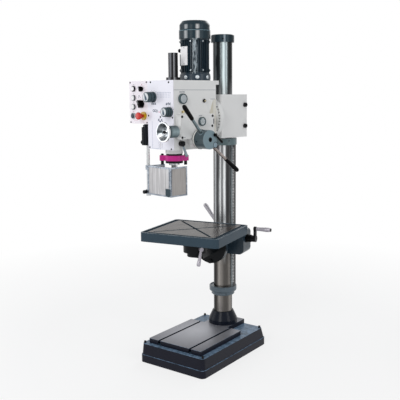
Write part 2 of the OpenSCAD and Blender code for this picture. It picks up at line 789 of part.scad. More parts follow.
module quill_lock_lever() {
    color("#17191C") at_head() {
        xcyl(6, 55, hw + 2, -445, 1295);
        xcyl(15, hw + 0.3, hw + 23, -445, 1295);
        translate([hw + 14, -445, 1295]) rotate([13.1, 0, 0]) rotate([180, -14, 0]) rotate_extrude()
            polygon([[0, 0], [6, 0], [6, 18], [8, 70], [6.5, 76], [0, 77]]);
    }
}
module control_box() {
    color("#DADADA") at_head() difference() {
        box(control_x0, -hw, front, front + control_depth, control_z0, head_top);
        box(control_x0 + 3, -hw - 3, front - 1, front + control_depth - 3, control_z0 + 3, head_top - 3);
    }
}
module control_plate() {
    color("#F1ECF0") at_head() difference() {
        box(control_x0, -hw - 0.1, plate_front, front, control_z0, head_top);
        for (p = [[-232, 1597], [-233, 1545], [-235, 1494]]) ycyl(5.05, -500, -490, p[0], p[1]);
        for (p = [[-160, 1595], [-160, 1511]]) ycyl(4.05, -500, -490, p[0], p[1]);
        ycyl(9.05, -500, -490, -142, 1444);
    }
}
module button_bezels() {
    color("#2A2C30") at_head() for (z = [1597, 1545, 1494]) difference() {
        x = z == 1597 ? -232 : (z == 1545 ? -233 : -235);
        ycyl(button_d / 2 + 4, plate_front - 8, plate_front, x, z);
        ycyl(button_d / 2 + 0.3, plate_front - 9, plate_front + 1, x, z);
    }
}
module push(x, z) {
    at_head() {
        ycyl(button_d / 2, plate_front - 11, plate_front - 4, x, z);
        ycyl(5, plate_front - 5, -475, x, z);
    }
}
module push_button_1() {
    color("#F4F4F2") push(-232, 1597);
}
module push_button_2() {
    color("#F4F4F2") push(-233, 1545);
}
module push_button_3() {
    color("#F4F4F2") push(-235, 1494);
}
module rotary(x, z, r, l) {
    at_head() {
        ycyl(r, plate_front - 9, plate_front - 0.3, x, z);
        translate([x, 0, z]) rotate([0, -25, 0]) box(-r * 0.32, r * 0.32, plate_front - l, plate_front - 8, -r, r);
        ycyl(4, plate_front - 2, -478, x, z);
    }
}
module rotary_switch_1() {
    color("#17181A") rotary(-160, 1595, 14, 22);
}
module rotary_switch_2() {
    color("#17181A") rotary(-160, 1511, 21, 30);
}
module stop_collar() {
    color("#E8C21A") at_head() difference() {
        ycyl(23, plate_front - 9, plate_front, -142, 1444);
        ycyl(9.05, plate_front - 10, plate_front + 1, -142, 1444);
    }
}
module emergency_stop() {
    r = stop_head_d / 2;
    color("#CC2A22") at_head() {
        translate([-142, plate_front - 26, 1444]) rotate([90, 0, 0]) rotate_extrude() polygon([[0, 0],
            [r - 6, 0], [r - 4, 6], [r, 12], [r, 20], [r - 3, 24], [r - 8, 26], [0, 27]]);
        ycyl(9, plate_front - 28, -475, -142, 1444);
    }
}
module guard_switch() {
    color("#15171A") at_head() difference() {
        union() {
            box(-158, -hw, -492, -456, 1277, 1393);
            zcyl(18, 1277, 1397, rod_x, rod_y - 2);
            box(-158, -140, -503, -470, 1277, 1380);
            xcyl(5, -166, -157, -482, 1292);
            xcyl(12, -180, -165, -482, 1292);
        }
        zcyl(rod_r + run, 1261, 1390, rod_x, rod_y);
    }
}
module guard_rod() {
    color("#BFC3C6") at_head() {
        zcyl(rod_r, 986, 1372, rod_x, rod_y);
        zcyl(rod_r + 4, 986, 996.7, rod_x, rod_y);
    }
}
module guard_run(off, t, z0, z1) {
    x1 = guard_x0 + guard_w;
    y1 = guard_y0 + guard_d;
    box(guard_x0 + off, guard_x0 + off + t, guard_y0 + off, y1, z0, z1);
    box(guard_x0 + off, x1 - off, guard_y0 + off, guard_y0 + off + t, z0, z1);
    box(x1 - off - t, x1 - off, guard_y0 + off, y1, z0, z1);
}
module guard_frame() {
    z1 = guard_z0 + guard_h;
    x1 = guard_x0 + guard_w;
    y1 = guard_y0 + guard_d;
    color("#2B2F36") at_head() difference() {
        union() {
            guard_run(0, 8, guard_z0, guard_z0 + 8);
            guard_run(0, 8, z1 - 8, z1);
            box(guard_x0, guard_x0 + 10, guard_y0, guard_y0 + 10, guard_z0, z1);
            box(x1 - 16, x1, guard_y0, guard_y0 + 10, guard_z0, z1);
            box(guard_x0, guard_x0 + 8, y1 - 8, y1, guard_z0, z1);
            box(x1 - 8, x1, y1 - 8, y1, guard_z0, z1);
            for (z = [guard_z0, guard_z0 + guard_h - 26]) {
                zcyl(rod_r + 6, z, z + 26, rod_x, rod_y);
                box(rod_x, guard_x0 + 2, rod_y - 10, rod_y + 10, z, z + 26);
            }
            ycyl(5, rod_y - 20, rod_y - 8, rod_x, guard_z0 + 13);
            ycyl(11, rod_y - 36, rod_y - 19, rod_x, guard_z0 + 13);
            translate([x1, guard_y0 + 4, guard_z0]) rotate([90, 0, 0]) linear_extrude(4)
                polygon([[0, 0], [-42, 42], [-42, 36], [-10, 0]]);
            translate([x1 - 42, guard_y0, guard_z0]) rotate([90, 0, 0]) linear_extrude(2)
                polygon([[0, 8], [0, 46], [42, 46], [42, 8], [21, 0]]);
        }
        guard_run(2.4, 3.2, guard_z0 + 3, z1 - 3);
        zcyl(rod_r + run, guard_z0 - 1, z1 + 1, rod_x, rod_y);
    }
}
module guard_panels() {
    color([0.82, 0.85, 0.86, 0.55]) at_head() guard_run(2.5, 3, guard_z0 + 3.1, guard_z0 + guard_h - 3.1);
}

base();
levelling_studs();
column_flange();
column();
column_cap();
rack_collars();
head_bracket();
bracket_bolts();
rack();
table_bracket();
crank_bush();
crank();
crank_handle();
column_clamp_lever();
table_arm();
tilt_bolts();
table_top();
table_lock_lever();
head_casting();
head_lid();
front_plate();
feed_housing();
shaft_cap();
sight_glass();
oil_fittings();
spindle_tube();
motor_flange();
motor_body();
fan_cover();
motor_rotor();
countershaft();
drive_gear();
spindle();
quill();
depth_stop_ring();
stop_screws();
feed_hub();
graduated_ring();
feed_levers();
lever_grips();
hub_clamp_lever();
fine_feed_wheel();
fine_feed_dial();
gear_selector_1();
gear_selector_2();
quill_lock_lever();
control_box();
control_plate();
button_bezels();
push_button_1();
push_button_2();
push_button_3();
rotary_switch_1();
rotary_switch_2();
stop_collar();
emergency_stop();
guard_switch();
guard_rod();
guard_frame();
guard_panels();
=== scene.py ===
import math
import bpy
import numpy as np
from mathutils import Matrix, Vector


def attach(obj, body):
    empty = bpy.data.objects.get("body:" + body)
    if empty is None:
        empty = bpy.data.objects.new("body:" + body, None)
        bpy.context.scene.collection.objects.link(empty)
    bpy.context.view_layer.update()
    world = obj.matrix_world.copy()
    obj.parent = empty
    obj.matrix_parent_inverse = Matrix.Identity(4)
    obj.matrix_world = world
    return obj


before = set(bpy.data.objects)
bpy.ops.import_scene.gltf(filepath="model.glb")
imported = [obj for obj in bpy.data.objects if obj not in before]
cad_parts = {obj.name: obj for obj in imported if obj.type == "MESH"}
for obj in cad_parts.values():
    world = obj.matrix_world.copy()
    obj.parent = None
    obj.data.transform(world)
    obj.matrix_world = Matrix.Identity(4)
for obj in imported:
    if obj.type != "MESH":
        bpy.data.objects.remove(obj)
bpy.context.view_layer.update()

print("solids loaded:", len(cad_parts))

mm = 0.001
headYaw = math.radians(-10)      # the head is clamped a little to the left of straight ahead
tableYaw = math.radians(10.5)    # and the table a little to the right
front, right, left, rear, below = (0, -1, 0), (1, 0, 0), (-1, 0, 0), (0, 1, 0), (0, 0, -1)

# faces and axes of the head that the small pieces sit on, in mm in the head's own frame
headPlan = dict(side=108.3, plateY=-495.0, spindleY=-396.3, motorY=-228.3, hubY=-346.0, hubZ=1317.0,
                coverX=150.0, swivelZ=1425.0, wheelX=130.0, wheelZ=1364.0, motorR=83.0)


# cosine and sine of an angle in degrees
def cosSin(degrees):
    a = math.radians(degrees)
    return math.cos(a), math.sin(a)


# plan rotation about the column, x cos - y sin and x sin + y cos, and millimetres to metres
def inPlace(points, yaw):
    p = np.asarray(points, dtype=float)
    c, s = math.cos(yaw), math.sin(yaw)
    return np.stack([p[..., 0] * c - p[..., 1] * s, p[..., 0] * s + p[..., 1] * c, p[..., 2]], axis=-1) * mm


# several shapes as one: the points one after another, the face numbers shifted by the points before them
def joined(shapes):
    points, faces, count = [], [], 0
    for p, f in shapes:
        flat = np.asarray(p, dtype=float).reshape(-1, 3)
        points.append(flat)
        faces += [[i + count for i in face] for face in f]
        count += len(flat)
    return np.concatenate(points), faces


# one object from points and faces, or from a list of such shapes, riding on a body, with its finish and slot
def makePiece(name, shape, finish, smoothUnder=0, body="head", yaw=headYaw):
    points, faces = joined(shape) if isinstance(shape, list) else shape
    mesh = bpy.data.meshes.new(name)
    mesh.from_pydata(inPlace(points, yaw).reshape(-1, 3).tolist(), [], faces)
    mesh.update()
    if smoothUnder:
        mesh.polygons.foreach_set("use_smooth", np.ones(len(mesh.polygons), dtype=bool))
        mesh.set_sharp_from_angle(angle=math.radians(smoothUnder))
    piece = bpy.data.objects.new(name, mesh)
    bpy.context.scene.collection.objects.link(piece)
    mesh.materials.append(finish)
    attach(piece, body)


# two directions across a normal, so that the first, the second and the normal are right-handed
def across(normal):
    n = np.asarray(normal, dtype=float)
    n = n / np.linalg.norm(n)
    u = np.cross([0, 0, 1.0], n) if abs(n[2]) < 0.9 else np.array([1.0, 0, 0])
    u = u / np.linalg.norm(u)
    return u, np.cross(n, u), n


# directions round an axis: cos t u + sin t v
def circle(t, u, v):
    return np.cos(t)[:, None] * u + np.sin(t)[:, None] * v


# quads between neighbours of a grid of points, closed round its columns and if wanted round its rows
def gridFaces(rows, cols, closedRows=False):
    i = np.arange(rows if closedRows else rows - 1)[:, None]
    j = np.arange(cols)[None, :]
    k, m = (j + 1) % cols, (i + 1) % rows
    return np.stack([i * cols + j, i * cols + k, m * cols + k, m * cols + j], axis=-1).reshape(-1, 4).tolist()


# rings round an axis, (radius, height) a step: centre + radius (cos t u + sin t v) + height n, with flat ends
def stackedRings(steps, centre, normal, sides=28):
    u, v, n = across(normal)
    ring = circle(np.linspace(0, 2 * np.pi, sides, endpoint=False), u, v)
    s = np.asarray(steps, dtype=float)
    points = s[:, None, :1] * ring[None] + s[:, None, 1:] * n + np.asarray(centre, dtype=float)
    last = (len(s) - 1) * sides
    return points, gridFaces(len(s), sides) + [list(range(sides - 1, -1, -1)), list(range(last, last + sides))]


# the same with a hole: the steps run up the outside and back down the inside
def hollowRings(steps, centre, normal, sides=36):
    points, faces = stackedRings(steps, centre, normal, sides)
    return points, gridFaces(len(steps), sides, True)


# a band round an axis: at each angle the four corners of its section, radius by height
def arcBand(radius, thick, low, high, angles, centre, normal, steps=40):
    u, v, n = across(normal)
    ring = circle(np.radians(np.linspace(angles[0], angles[1], steps)), u, v)
    inner, outer = ring * radius, ring * (radius + thick)
    points = np.stack([inner + n * low, outer + n * low, outer + n * high, inner + n * high], axis=1)
    last = (steps - 1) * 4
    faces = [f[::-1] for f in gridFaces(steps, 4)] + [[0, 1, 2, 3], [last + 3, last + 2, last + 1, last]]
    return points + np.asarray(centre, dtype=float), faces


# raised strips on a face: centre, plus and minus half the length and half the width, turned by an angle
def strips(rows, normal):
    u, v, n = across(normal)
    r = np.asarray(rows, dtype=float)      # x, y, z, length, width, height, angle
    c, a = r[:, :3], np.radians(r[:, 6])
    along, wide = circle(a, u, v) * r[:, 3:4] / 2, circle(a, v, -u) * r[:, 4:5] / 2
    low = np.stack([c - along - wide, c + along - wide, c + along + wide, c - along + wide], axis=1)
    points = np.concatenate([low, low + (n * r[:, 5:6])[:, None]], axis=1)
    quads = np.array([[3, 2, 1, 0], [4, 5, 6, 7], [0, 1, 5, 4], [1, 2, 6, 5], [2, 3, 7, 6], [3, 0, 4, 7]])
    return points.reshape(-1, 3), (quads[None] + 8 * np.arange(len(r))[:, None, None]).reshape(-1, 4).tolist()


# a flat outline given as (u, v) pairs, carried up by a height
def plateShape(outline, centre, normal, height):
    u, v, n = across(normal)
    o = np.asarray(outline, dtype=float)
    low = o[:, :1] * u + o[:, 1:] * v + np.asarray(centre, dtype=float)
    count = len(o)
    ends = [list(range(count - 1, -1, -1)), list(range(count, 2 * count))]
    return np.stack([low, low + n * height]), gridFaces(2, count) + ends


# a rounded rectangle: corner centre + radius (cos t, sin t), a quarter turn at each corner
def roundedOutline(width, height, radius, steps=6):
    a = np.radians(np.linspace(0, 90, steps))
    out = []
    for k, (sx, sz) in enumerate(((1, 1), (-1, 1), (-1, -1), (1, -1))):
        t = a + k * np.pi / 2
        out.append(np.stack([sx * (width / 2 - radius) + radius * np.cos(t),
                             sz * (height / 2 - radius) + radius * np.sin(t)], axis=-1))
    return np.concatenate(out)


# hex digits to linear light, by the sRGB curve
def tint(text):
    v = np.array([int(text[i:i + 2], 16) for i in (0, 2, 4)]) / 255
    return tuple(float(x) for x in np.where(v <= 0.04045, v / 12.92, ((v + 0.055) / 1.055) ** 2.4))


# a colour a little darker and a little lighter: c (1 - spread) and c (1 + spread)
def tones(colour, spread):
    middle = tint(colour) if isinstance(colour, str) else colour
    return tuple(c * (1 - spread) for c in middle), tuple(min(1.0, c * (1 + spread)) for c in middle)


def grey(g):
    return g, g, g


# one value in a node tree, so that shader sums are written as they are read
class Value:
    def __init__(self, tree, socket):
        self.tree = tree
        self.socket = socket

    def join(self, kind, first, second=None):
        node = self.tree.nodes.new("ShaderNodeMath")
        node.operation = kind
        plug(self.tree, node.inputs[0], first)
        if second is not None:
            plug(self.tree, node.inputs[1], second)
        return Value(self.tree, node.outputs[0])

    def __add__(self, other):
        return self.join("ADD", self, other)

    def __radd__(self, other):
        return self.join("ADD", other, self)

    def __sub__(self, other):
        return self.join("SUBTRACT", self, other)

    def __rsub__(self, other):
        return self.join("SUBTRACT", other, self)

    def __mul__(self, other):
        return self.join("MULTIPLY", self, other)

    def __rmul__(self, other):
        return self.join("MULTIPLY", other, self)

    def __truediv__(self, other):
        return self.join("DIVIDE", self, other)

    def __rtruediv__(self, other):
        return self.join("DIVIDE", other, self)

    def __pow__(self, other):
        return self.join("POWER", self, other)

    def __gt__(self, other):
        return self.join("GREATER_THAN", self, other)

    def __lt__(self, other):
        return self.join("LESS_THAN", self, other)

    def __abs__(self):
        return self.join("ABSOLUTE", self)

    # between 0 and 1
    def kept(self):
        return self.join("MINIMUM", self.join("MAXIMUM", self, 0.0), 1.0)


# distance from an axis: sqrt(a a + b b)
def reach(a, b):
    return (a * a + b * b) ** 0.5


# the angle of (x, y) as a share of a full turn: atan2(y, x) / 2 pi + 1/2
def turnOf(x, y):
    return x.join("ARCTAN2", y, x) / (2 * math.pi) + 0.5


# a link, a colour in hex digits, a colour or vector, or a number into a socket
def plug(tree, socket, value):
    if isinstance(value, Value):
        tree.links.new(value.socket, socket)
    elif isinstance(value, str):
        plug(tree, socket, tint(value))
    elif isinstance(value, (tuple, list)):
        socket.default_value = tuple(value) + (1.0,) * (len(socket.default_value) - len(value))
    else:
        socket.default_value = value


# a material with its Principled shader, and one method for any other node
class Finish:
    def __init__(self, name, **fixed):
        self.material = bpy.data.materials.new(name)
        self.material.use_nodes = True
        self.tree = self.material.node_tree
        self.shader = self.tree.nodes["Principled BSDF"]
        for key, value in fixed.items():
            self.put(key.replace("_", " "), value)

    def put(self, socket, value):
        plug(self.tree, self.shader.inputs[socket], value)

    # node type, its settings (a ramp's stops among them), its sockets by name or number, and the output wanted
    def node(self, kind, settings, sockets, out=0):
        made = self.tree.nodes.new(kind)
        for key, value in settings.items():
            if key == "stops":
                ramp = made.color_ramp.elements      # the two stops of a new ramp become the first and the last
                ramp[0].position, ramp[1].position = value[0][0], value[-1][0]
                for at, colour in value[1:-1]:
                    ramp.new(at)
                for element, (at, colour) in zip(sorted(ramp, key=lambda e: e.position), value):
                    element.color = tuple(colour) + (1.0,)
            else:
                setattr(made, key, value)
        for key, value in sockets.items():
            plug(self.tree, made.inputs[key], value)
        return Value(self.tree, made.outputs[out])

    # Object coordinates in mm from a centre, turned back by the yaw, and then stretched
    def place(self, yaw=0.0, stretch=(1, 1, 1), centre=(0, 0, 0)):
        spot = self.node("ShaderNodeTexCoord", {}, {}, "Object")
        turned = self.node("ShaderNodeMapping", dict(vector_type="TEXTURE"),
                           {"Vector": spot, "Location": inPlace(centre, yaw).tolist(), "Rotation": [0, 0, yaw],
                            "Scale": [mm, mm, mm]})
        if stretch == (1, 1, 1):
            return turned
        return self.node("ShaderNodeMapping", {}, {"Vector": turned, "Scale": list(stretch)})

    def parts(self, vector):
        split = self.node("ShaderNodeSeparateXYZ", {}, {"Vector": vector}).socket.node
        return [Value(self.tree, socket) for socket in split.outputs]

    def facing(self):
        return self.parts(self.node("ShaderNodeTexCoord", {}, {}, "Normal"))

    def cloud(self, where, size, detail=3.0, rough=0.55):
        return self.node("ShaderNodeTexNoise", {}, {"Vector": where, "Scale": 1.0 / size, "Detail": detail,
                                                    "Roughness": rough})

    # low where the mask is 0 and high where it is 1
    def between(self, mask, low, high, blend="MIX"):
        settings = dict(data_type="RGBA", blend_type=blend)
        return self.node("ShaderNodeMix", settings, {0: mask, 6: low, 7: high}, 2)

    # a colour for a number from 0 to 1, by stops of place and colour
    def ramp(self, at, stops):
        return self.node("ShaderNodeValToRGB", dict(stops=stops), {0: at})

    # the last steps of each finish: its roughness, and a relief of a height pattern with its strength and depth
    def finished(self, rough, height, strength, depth):
        self.put("Roughness", rough)
        self.put("Normal", self.node("ShaderNodeBump", {}, {"Height": height, "Strength": strength,
                                                            "Distance": depth * mm}))
        return self.material


# sprayed paint: slow change of tone, fine orange peel, and sheen that follows handling
def sprayedPaint(name, colour, rough=0.34, peel=0.1, grain=2.0, spread=0.05, coat=0.2, metallic=0.0, gloss=0.5):
    f = Finish(name, Metallic=metallic, Coat_Weight=coat, Coat_Roughness=0.1, Specular_IOR_Level=gloss)
    where = f.place()
    f.put("Base Color", f.between(f.cloud(where, 150, 4), *tones(colour, spread)))
    return f.finished((f.cloud(where, 24, 5) - 0.5) * 0.18 + rough, f.cloud(where, grain, 2), peel, 0.3)


# machined steel: fine lines drawn out along one direction over faint clouding
def machinedSteel(name, colour, rough, stretch, line=0.9, depth=0.08, spread=0.08):
    f = Finish(name, Metallic=1.0)
    lines = f.cloud(f.place(0.0, stretch), line, 3)
    smoke = f.cloud(f.place(), 55, 4)
    f.put("Base Color", f.between(lines * 0.6 + smoke * 0.4, *tones(colour, spread * 2)))
    return f.finished((lines - 0.5) * 0.12 + (smoke - 0.5) * 0.1 + rough, lines, depth, 0.2)


# moulded plastic: even colour with a fine grain
def mouldedPlastic(name, colour, rough=0.38, grain=0.15, size=0.8, gloss=0.5):
    f = Finish(name, Specular_IOR_Level=gloss)
    where = f.place()
    f.put("Base Color", f.between(f.cloud(where, 22, 3), *tones(colour, 0.08)))
    return f.finished((f.cloud(where, 8, 3) - 0.5) * 0.14 + rough, f.cloud(where, size, 2), grain, 0.2)


soot = (0.008, 0.008, 0.01)      # black oxide and the blackest paint
# paints by name and colour, with what differs from the plain paint
whitePaint = sprayedPaint("off-white enamel", "DDDDDC", peel=0.12, spread=0.02)
smoothEnamel = dict(rough=0.3, peel=0.05, grain=1.5, spread=0.015, coat=0.25)
platePaint = sprayedPaint("front plate enamel", "E3E2EC", **smoothEnamel)
panelPaint = sprayedPaint("control plate enamel", "E6DFE6", **smoothEnamel)
# cream strips that stand in for the shading of the rounded front edge of the head's side pad: painted shade
shadeStripSettings = dict(peel=0.08, spread=0.04, coat=0.1)
paleRoundShade = sprayedPaint("pale cream painted shade", "D6D3CA", **shadeStripSettings)
roundShade = sprayedPaint("cream painted shade", "C8C3B4", **shadeStripSettings)
greyBluePaint = sprayedPaint("grey-blue machine paint", "2A3843", rough=0.3, peel=0.3, grain=2.6, spread=0.12,
                             coat=0.05, gloss=0.2)
motorPaint = sprayedPaint("motor paint", "23333F", rough=0.3, peel=0.12, grain=2.2, spread=0.14, coat=0.04,
                          gloss=0.25)
footPaint = sprayedPaint("column foot paint", "121722", rough=0.24, peel=0.15, grain=2.6, spread=0.14,
                         coat=0.02, gloss=0.1)
bossPaint = sprayedPaint("lever boss paint", "8094A0", rough=0.3, spread=0.06, coat=0.15, gloss=0.3)
hubPaint = sprayedPaint("feed hub paint", "66767D", rough=0.3, peel=0.2, spread=0.08, coat=0.15, gloss=0.3)
capPaint = sprayedPaint("shaft cap paint", "46555A", rough=0.3, spread=0.08, coat=0.05, gloss=0.2)
# the tilting arm is the same dark blue-grey paint as the bracket, painted near-black here as painted shade
shadedArmPaint = sprayedPaint("tilting arm painted shade", "101316", peel=0.35, grain=3.0, spread=0.25, coat=0.0, gloss=0.12)
magentaPaint = sprayedPaint("magenta stop paint", "C21A84", rough=0.32, peel=0.08, grain=1.4, coat=0.15,
                            gloss=0.3)
ringPaint = sprayedPaint("graduated ring lacquer", "DCDDD9", rough=0.26, peel=0.05, grain=1.0, metallic=0.25)
silverGrip = sprayedPaint("silver handle lacquer", "A9A5AD", rough=0.25, peel=0.05, grain=1.2, spread=0.08,
                          coat=0.1, metallic=0.3, gloss=0.3)
blackSteel = sprayedPaint("black oxide steel", soot, rough=0.3, peel=0.15, grain=1.0, spread=0.25, coat=0.0,
                          gloss=0.12)
plugSteel = sprayedPaint("bright plug", "C9CFD3", rough=0.25, grain=3.0, spread=0.25, coat=0.0, metallic=0.3,
                         gloss=0.3)
turnedSteel = machinedSteel("turned bright steel", (0.55, 0.56, 0.57), 0.22, (0.15, 0.15, 1), line=0.8)
bezelSteel = machinedSteel("gauge bezel steel", (0.24, 0.26, 0.27), 0.3, (1, 1, 1), line=2.0, depth=0.05)
gearSteel = machinedSteel("milled gear steel", (0.42, 0.44, 0.46), 0.34, (1, 0.2, 1), depth=0.12)
# plastics and inks by name, colour, roughness and depth of grain
blackPlastic = mouldedPlastic("black plastic", (0.003, 0.003, 0.0035), 0.28, 0.12, gloss=0.06)
glossBlack = mouldedPlastic("gloss black sleeve", (0.006, 0.008, 0.011), 0.22, 0.0, size=3.0, gloss=0.06)
knobPlastic = mouldedPlastic("grey knob plastic", "3F5056", 0.36, 0.2, gloss=0.2)
lampPlastic = mouldedPlastic("lamp lens plastic", "2A3744", 0.12, 0.02, gloss=0.3)
whitePlastic = mouldedPlastic("white cap plastic", (0.80, 0.79, 0.80), 0.25, 0.05)
capPlastic = mouldedPlastic("knob cap plastic", "D6DADD", 0.3, 0.06)
greyCap = mouldedPlastic("grey cap plastic", "A7AEB2", 0.3, 0.06)
redPlastic = mouldedPlastic("red cap plastic", "C92A24", 0.26, 0.06)
yellowPlastic = mouldedPlastic("yellow ring plastic", "BE9A12", 0.34, 0.06)
gaugeGrey = mouldedPlastic("gauge face", "BCC6C8", 0.3, 0.04)
scaleWhite = mouldedPlastic("white scale", "E8E8E2", 0.35, 0.04)
inkBlack = mouldedPlastic("printed black", (0.03, 0.032, 0.045), 0.5, 0.02)
inkBlue = mouldedPlastic("printed grey-blue", "33475C", 0.5, 0.02)
inkPale = mouldedPlastic("printed pale blue", "8E9BB0", 0.5, 0.02)
inkRose = mouldedPlastic("printed rose", "C0687F", 0.5, 0.02)
print("plain finishes mixed")


# ground bar: painted reflections, upright bands of light and dark tone round it by the plan angle, in three
# lengths that flow into each other
columnPlan = dict(
    low=[(0.0, 0.10), (0.05, 0.45), (0.09, 0.12), (0.14, 0.012), (0.187, 0.016), (0.214, 0.04), (0.238, 0.09),
         (0.259, 0.25), (0.278, 0.36), (0.30, 0.25), (0.331, 0.19), (0.35, 0.12), (0.37, 0.09), (0.42, 0.09),
         (0.439, 0.14), (0.461, 0.22), (0.49, 0.30), (0.515, 0.11), (0.60, 0.04), (0.75, 0.30), (0.88, 0.08),
         (0.99, 0.10)],
    middle=[(0.0, 0.10), (0.05, 0.45), (0.09, 0.12), (0.15, 0.05), (0.168, 0.08), (0.195, 0.62), (0.21, 0.28),
            (0.243, 0.06), (0.265, 0.12), (0.281, 0.36), (0.299, 1.0), (0.316, 0.40), (0.333, 0.09),
            (0.347, 0.42), (0.3665, 1.0), (0.384, 0.82), (0.3975, 0.10), (0.415, 0.045), (0.44, 0.04),
            (0.462, 0.08), (0.485, 0.2), (0.60, 0.2), (0.72, 0.50), (0.88, 0.10), (0.99, 0.10)],
    high=[(0.0, 0.10), (0.05, 0.45), (0.09, 0.12), (0.15, 0.03), (0.242, 0.05), (0.278, 0.08), (0.32, 0.15),
          (0.334, 0.32), (0.35, 1.0), (0.372, 0.9), (0.386, 0.38), (0.405, 0.30), (0.425, 0.09), (0.442, 0.035),
          (0.48, 0.016), (0.51, 0.01), (0.60, 0.03), (0.72, 0.35), (0.84, 0.08), (0.99, 0.10)],
    joints=((520, 860), (1500, 1660)), warm=((1.08, 1.0, 0.93), (0.98, 1.0, 1.03), (0.86, 1.0, 1.04)))


def columnFinish():
    p = columnPlan
    f = Finish("polished column steel", Metallic=0.6, Specular_IOR_Level=0.06)
    where = f.place()
    x, y, z = f.parts(where)
    lines, smoke = f.cloud(f.place(0.0, (1, 1, 0.02)), 1.6, 3), f.cloud(where, 60, 4)
    turn = turnOf(x, y) + (smoke - 0.5) * 0.01
    # painted reflections: for each length a ramp of bright and dark bands by angle, each tinted by its warm
    # factor
    lengths = [f.ramp(turn, [(at, tuple(min(1.0, g * w) for w in warm)) for at, g in p[part]])
               for part, warm in zip(("low", "middle", "high"), p["warm"])]
    colour = lengths[0]
    for (start, end), upper in zip(p["joints"], lengths[1:]):
        colour = f.between(((z - start) / (end - start)).kept(), colour, upper)
    fine = f.between(lines * 0.5 + smoke * 0.5, grey(0.82), grey(1.18))
    f.put("Base Color", f.between(1.0, colour, fine, "MULTIPLY"))
    return f.finished((lines - 0.5) * 0.1 + (smoke - 0.5) * 0.08 + 0.24, lines, 0.04, 0.2)


# polished wheel: painted reflections, rings of tone by the distance from its axis crossed by sectors in the
# bowl, and painted shade on its back
wheelPlan = dict(
    rimR=62, bowlR=49, nutR=12, backR=54, shadedBackTone=(0.06, 0.065, 0.07),
    rings=[(0.0, (0.02, 0.02, 0.022)), (0.14, (0.03, 0.03, 0.033)), (0.20, (0.40, 0.41, 0.42)),
           (0.36, (0.24, 0.25, 0.26)), (0.50, (0.52, 0.53, 0.54)), (0.66, (0.30, 0.31, 0.32)),
           (0.80, (0.72, 0.73, 0.74)), (1.0, (0.66, 0.67, 0.68))],
    reflectionSectors=[(0.0, (0.10, 0.13, 0.14)), (0.14, grey(0.9)), (0.20, (0.25, 0.28, 0.3)), (0.36, grey(1.3)),
             (0.47, (0.5, 0.52, 0.54)), (0.56, grey(1.5)), (0.68, (0.3, 0.32, 0.33)),
             (0.80, (0.12, 0.14, 0.15)), (0.93, (0.5, 0.53, 0.55)), (1.0, (0.10, 0.13, 0.14))])


def wheelFinish():
    p = wheelPlan
    f = Finish("polished handwheel", Metallic=1.0)
    x, y, z = f.parts(f.place(headYaw, centre=(headPlan["wheelX"], 0, headPlan["wheelZ"])))
    away = reach(x, z)
    rings = f.ramp((away / p["rimR"]).kept(), p["rings"])
    reflectionSectors = f.ramp(turnOf(x, z), p["reflectionSectors"])
    bowl = f.between((away < p["bowlR"]) * (away > p["nutR"]), rings, reflectionSectors, "MULTIPLY")
    # painted shade: faces turned away from the front beyond backR take the dark tone
    f.put("Base Color", f.between((f.facing()[1] > -0.3) * (away > p["backR"]), bowl, p["shadedBackTone"]))
    return f.finished(f.cloud(f.place(), 12, 2) * 0.08 + 0.1, f.cloud(f.place(), 6, 2), 0.03, 0.2)


# milled rack: a plain light side, whose outer edge has painted highlights on the tips and painted shade in the
# gaps by the distance from the front; the side face beyond sideX is painted in shade too
rackPlan = dict(sideX=79.3, edgeX=68, edgeWide=2, gapY=-11.6, gapDeep=2.4)


def rackFinish():
    p = rackPlan
    f = Finish("milled rack", Metallic=0.3, Specular_IOR_Level=0.2)
    x, y, z = f.parts(f.place(tableYaw))
    lines = f.cloud(f.place(0.0, (1, 1, 0.2)), 1.0, 3)
    # painted light and shade: bright tips and dark gaps by the depth into the gap
    gapShade = ((y - p["gapY"]) / p["gapDeep"]).kept()
    edge = ((x - p["edgeX"]) / p["edgeWide"]).kept()
    plain = f.between(lines, "8D989C", "AEB7BA")
    tipHighlightGapShade = f.between(gapShade, f.between(lines, grey(0.88), grey(1.0)), (0.16, 0.165, 0.17))
    inner = f.between(gapShade, (0.07, 0.075, 0.075), grey(0.02))
    f.put("Base Color", f.between(x > p["sideX"], f.between(edge, plain, tipHighlightGapShade), inner))
    return f.finished(lines * 0.12 + 0.26, lines, 0.1, 0.2)


# bare steel angle: light and dark patches drawn out along its length, with a dark corner plate and a black knob
guardPlan = dict(plateY=-500.4, knobX=-110)


def guardSteelFinish():
    f = Finish("guard frame steel", Metallic=0.8)
    where = f.place(headYaw)
    patch, fine = f.cloud(where, 30, 4, 0.65), f.cloud(f.place(headYaw, (1, 1, 0.2)), 2.5, 3)
    x, y, z = f.parts(where)
    steel = f.between(((patch * 0.7 + fine * 0.3 - 0.5) * 4 + 0.5).kept(), "6E7782", "B4BCC6")
    ahead = y < guardPlan["plateY"]
    plate = f.between(ahead, steel, "34434A")
    f.put("Base Color", f.between(ahead * (x < guardPlan["knobX"]), plate, soot))
    return f.finished(fine * 0.2 + 0.18, fine, 0.1, 0.2)


# painted sides, bluish ledge and a ground pad with a painted highlight about one spot, parted by height; thin
# light lines along the edges are painted edge highlights
basePlan = dict(padZ=141.2, ledgeZ=100, highlightAt=(-30, -230, 0), highlightR=330,
                edges=((112.0, 1.3), (45.6, 1.0), (141.4, 0.8)))


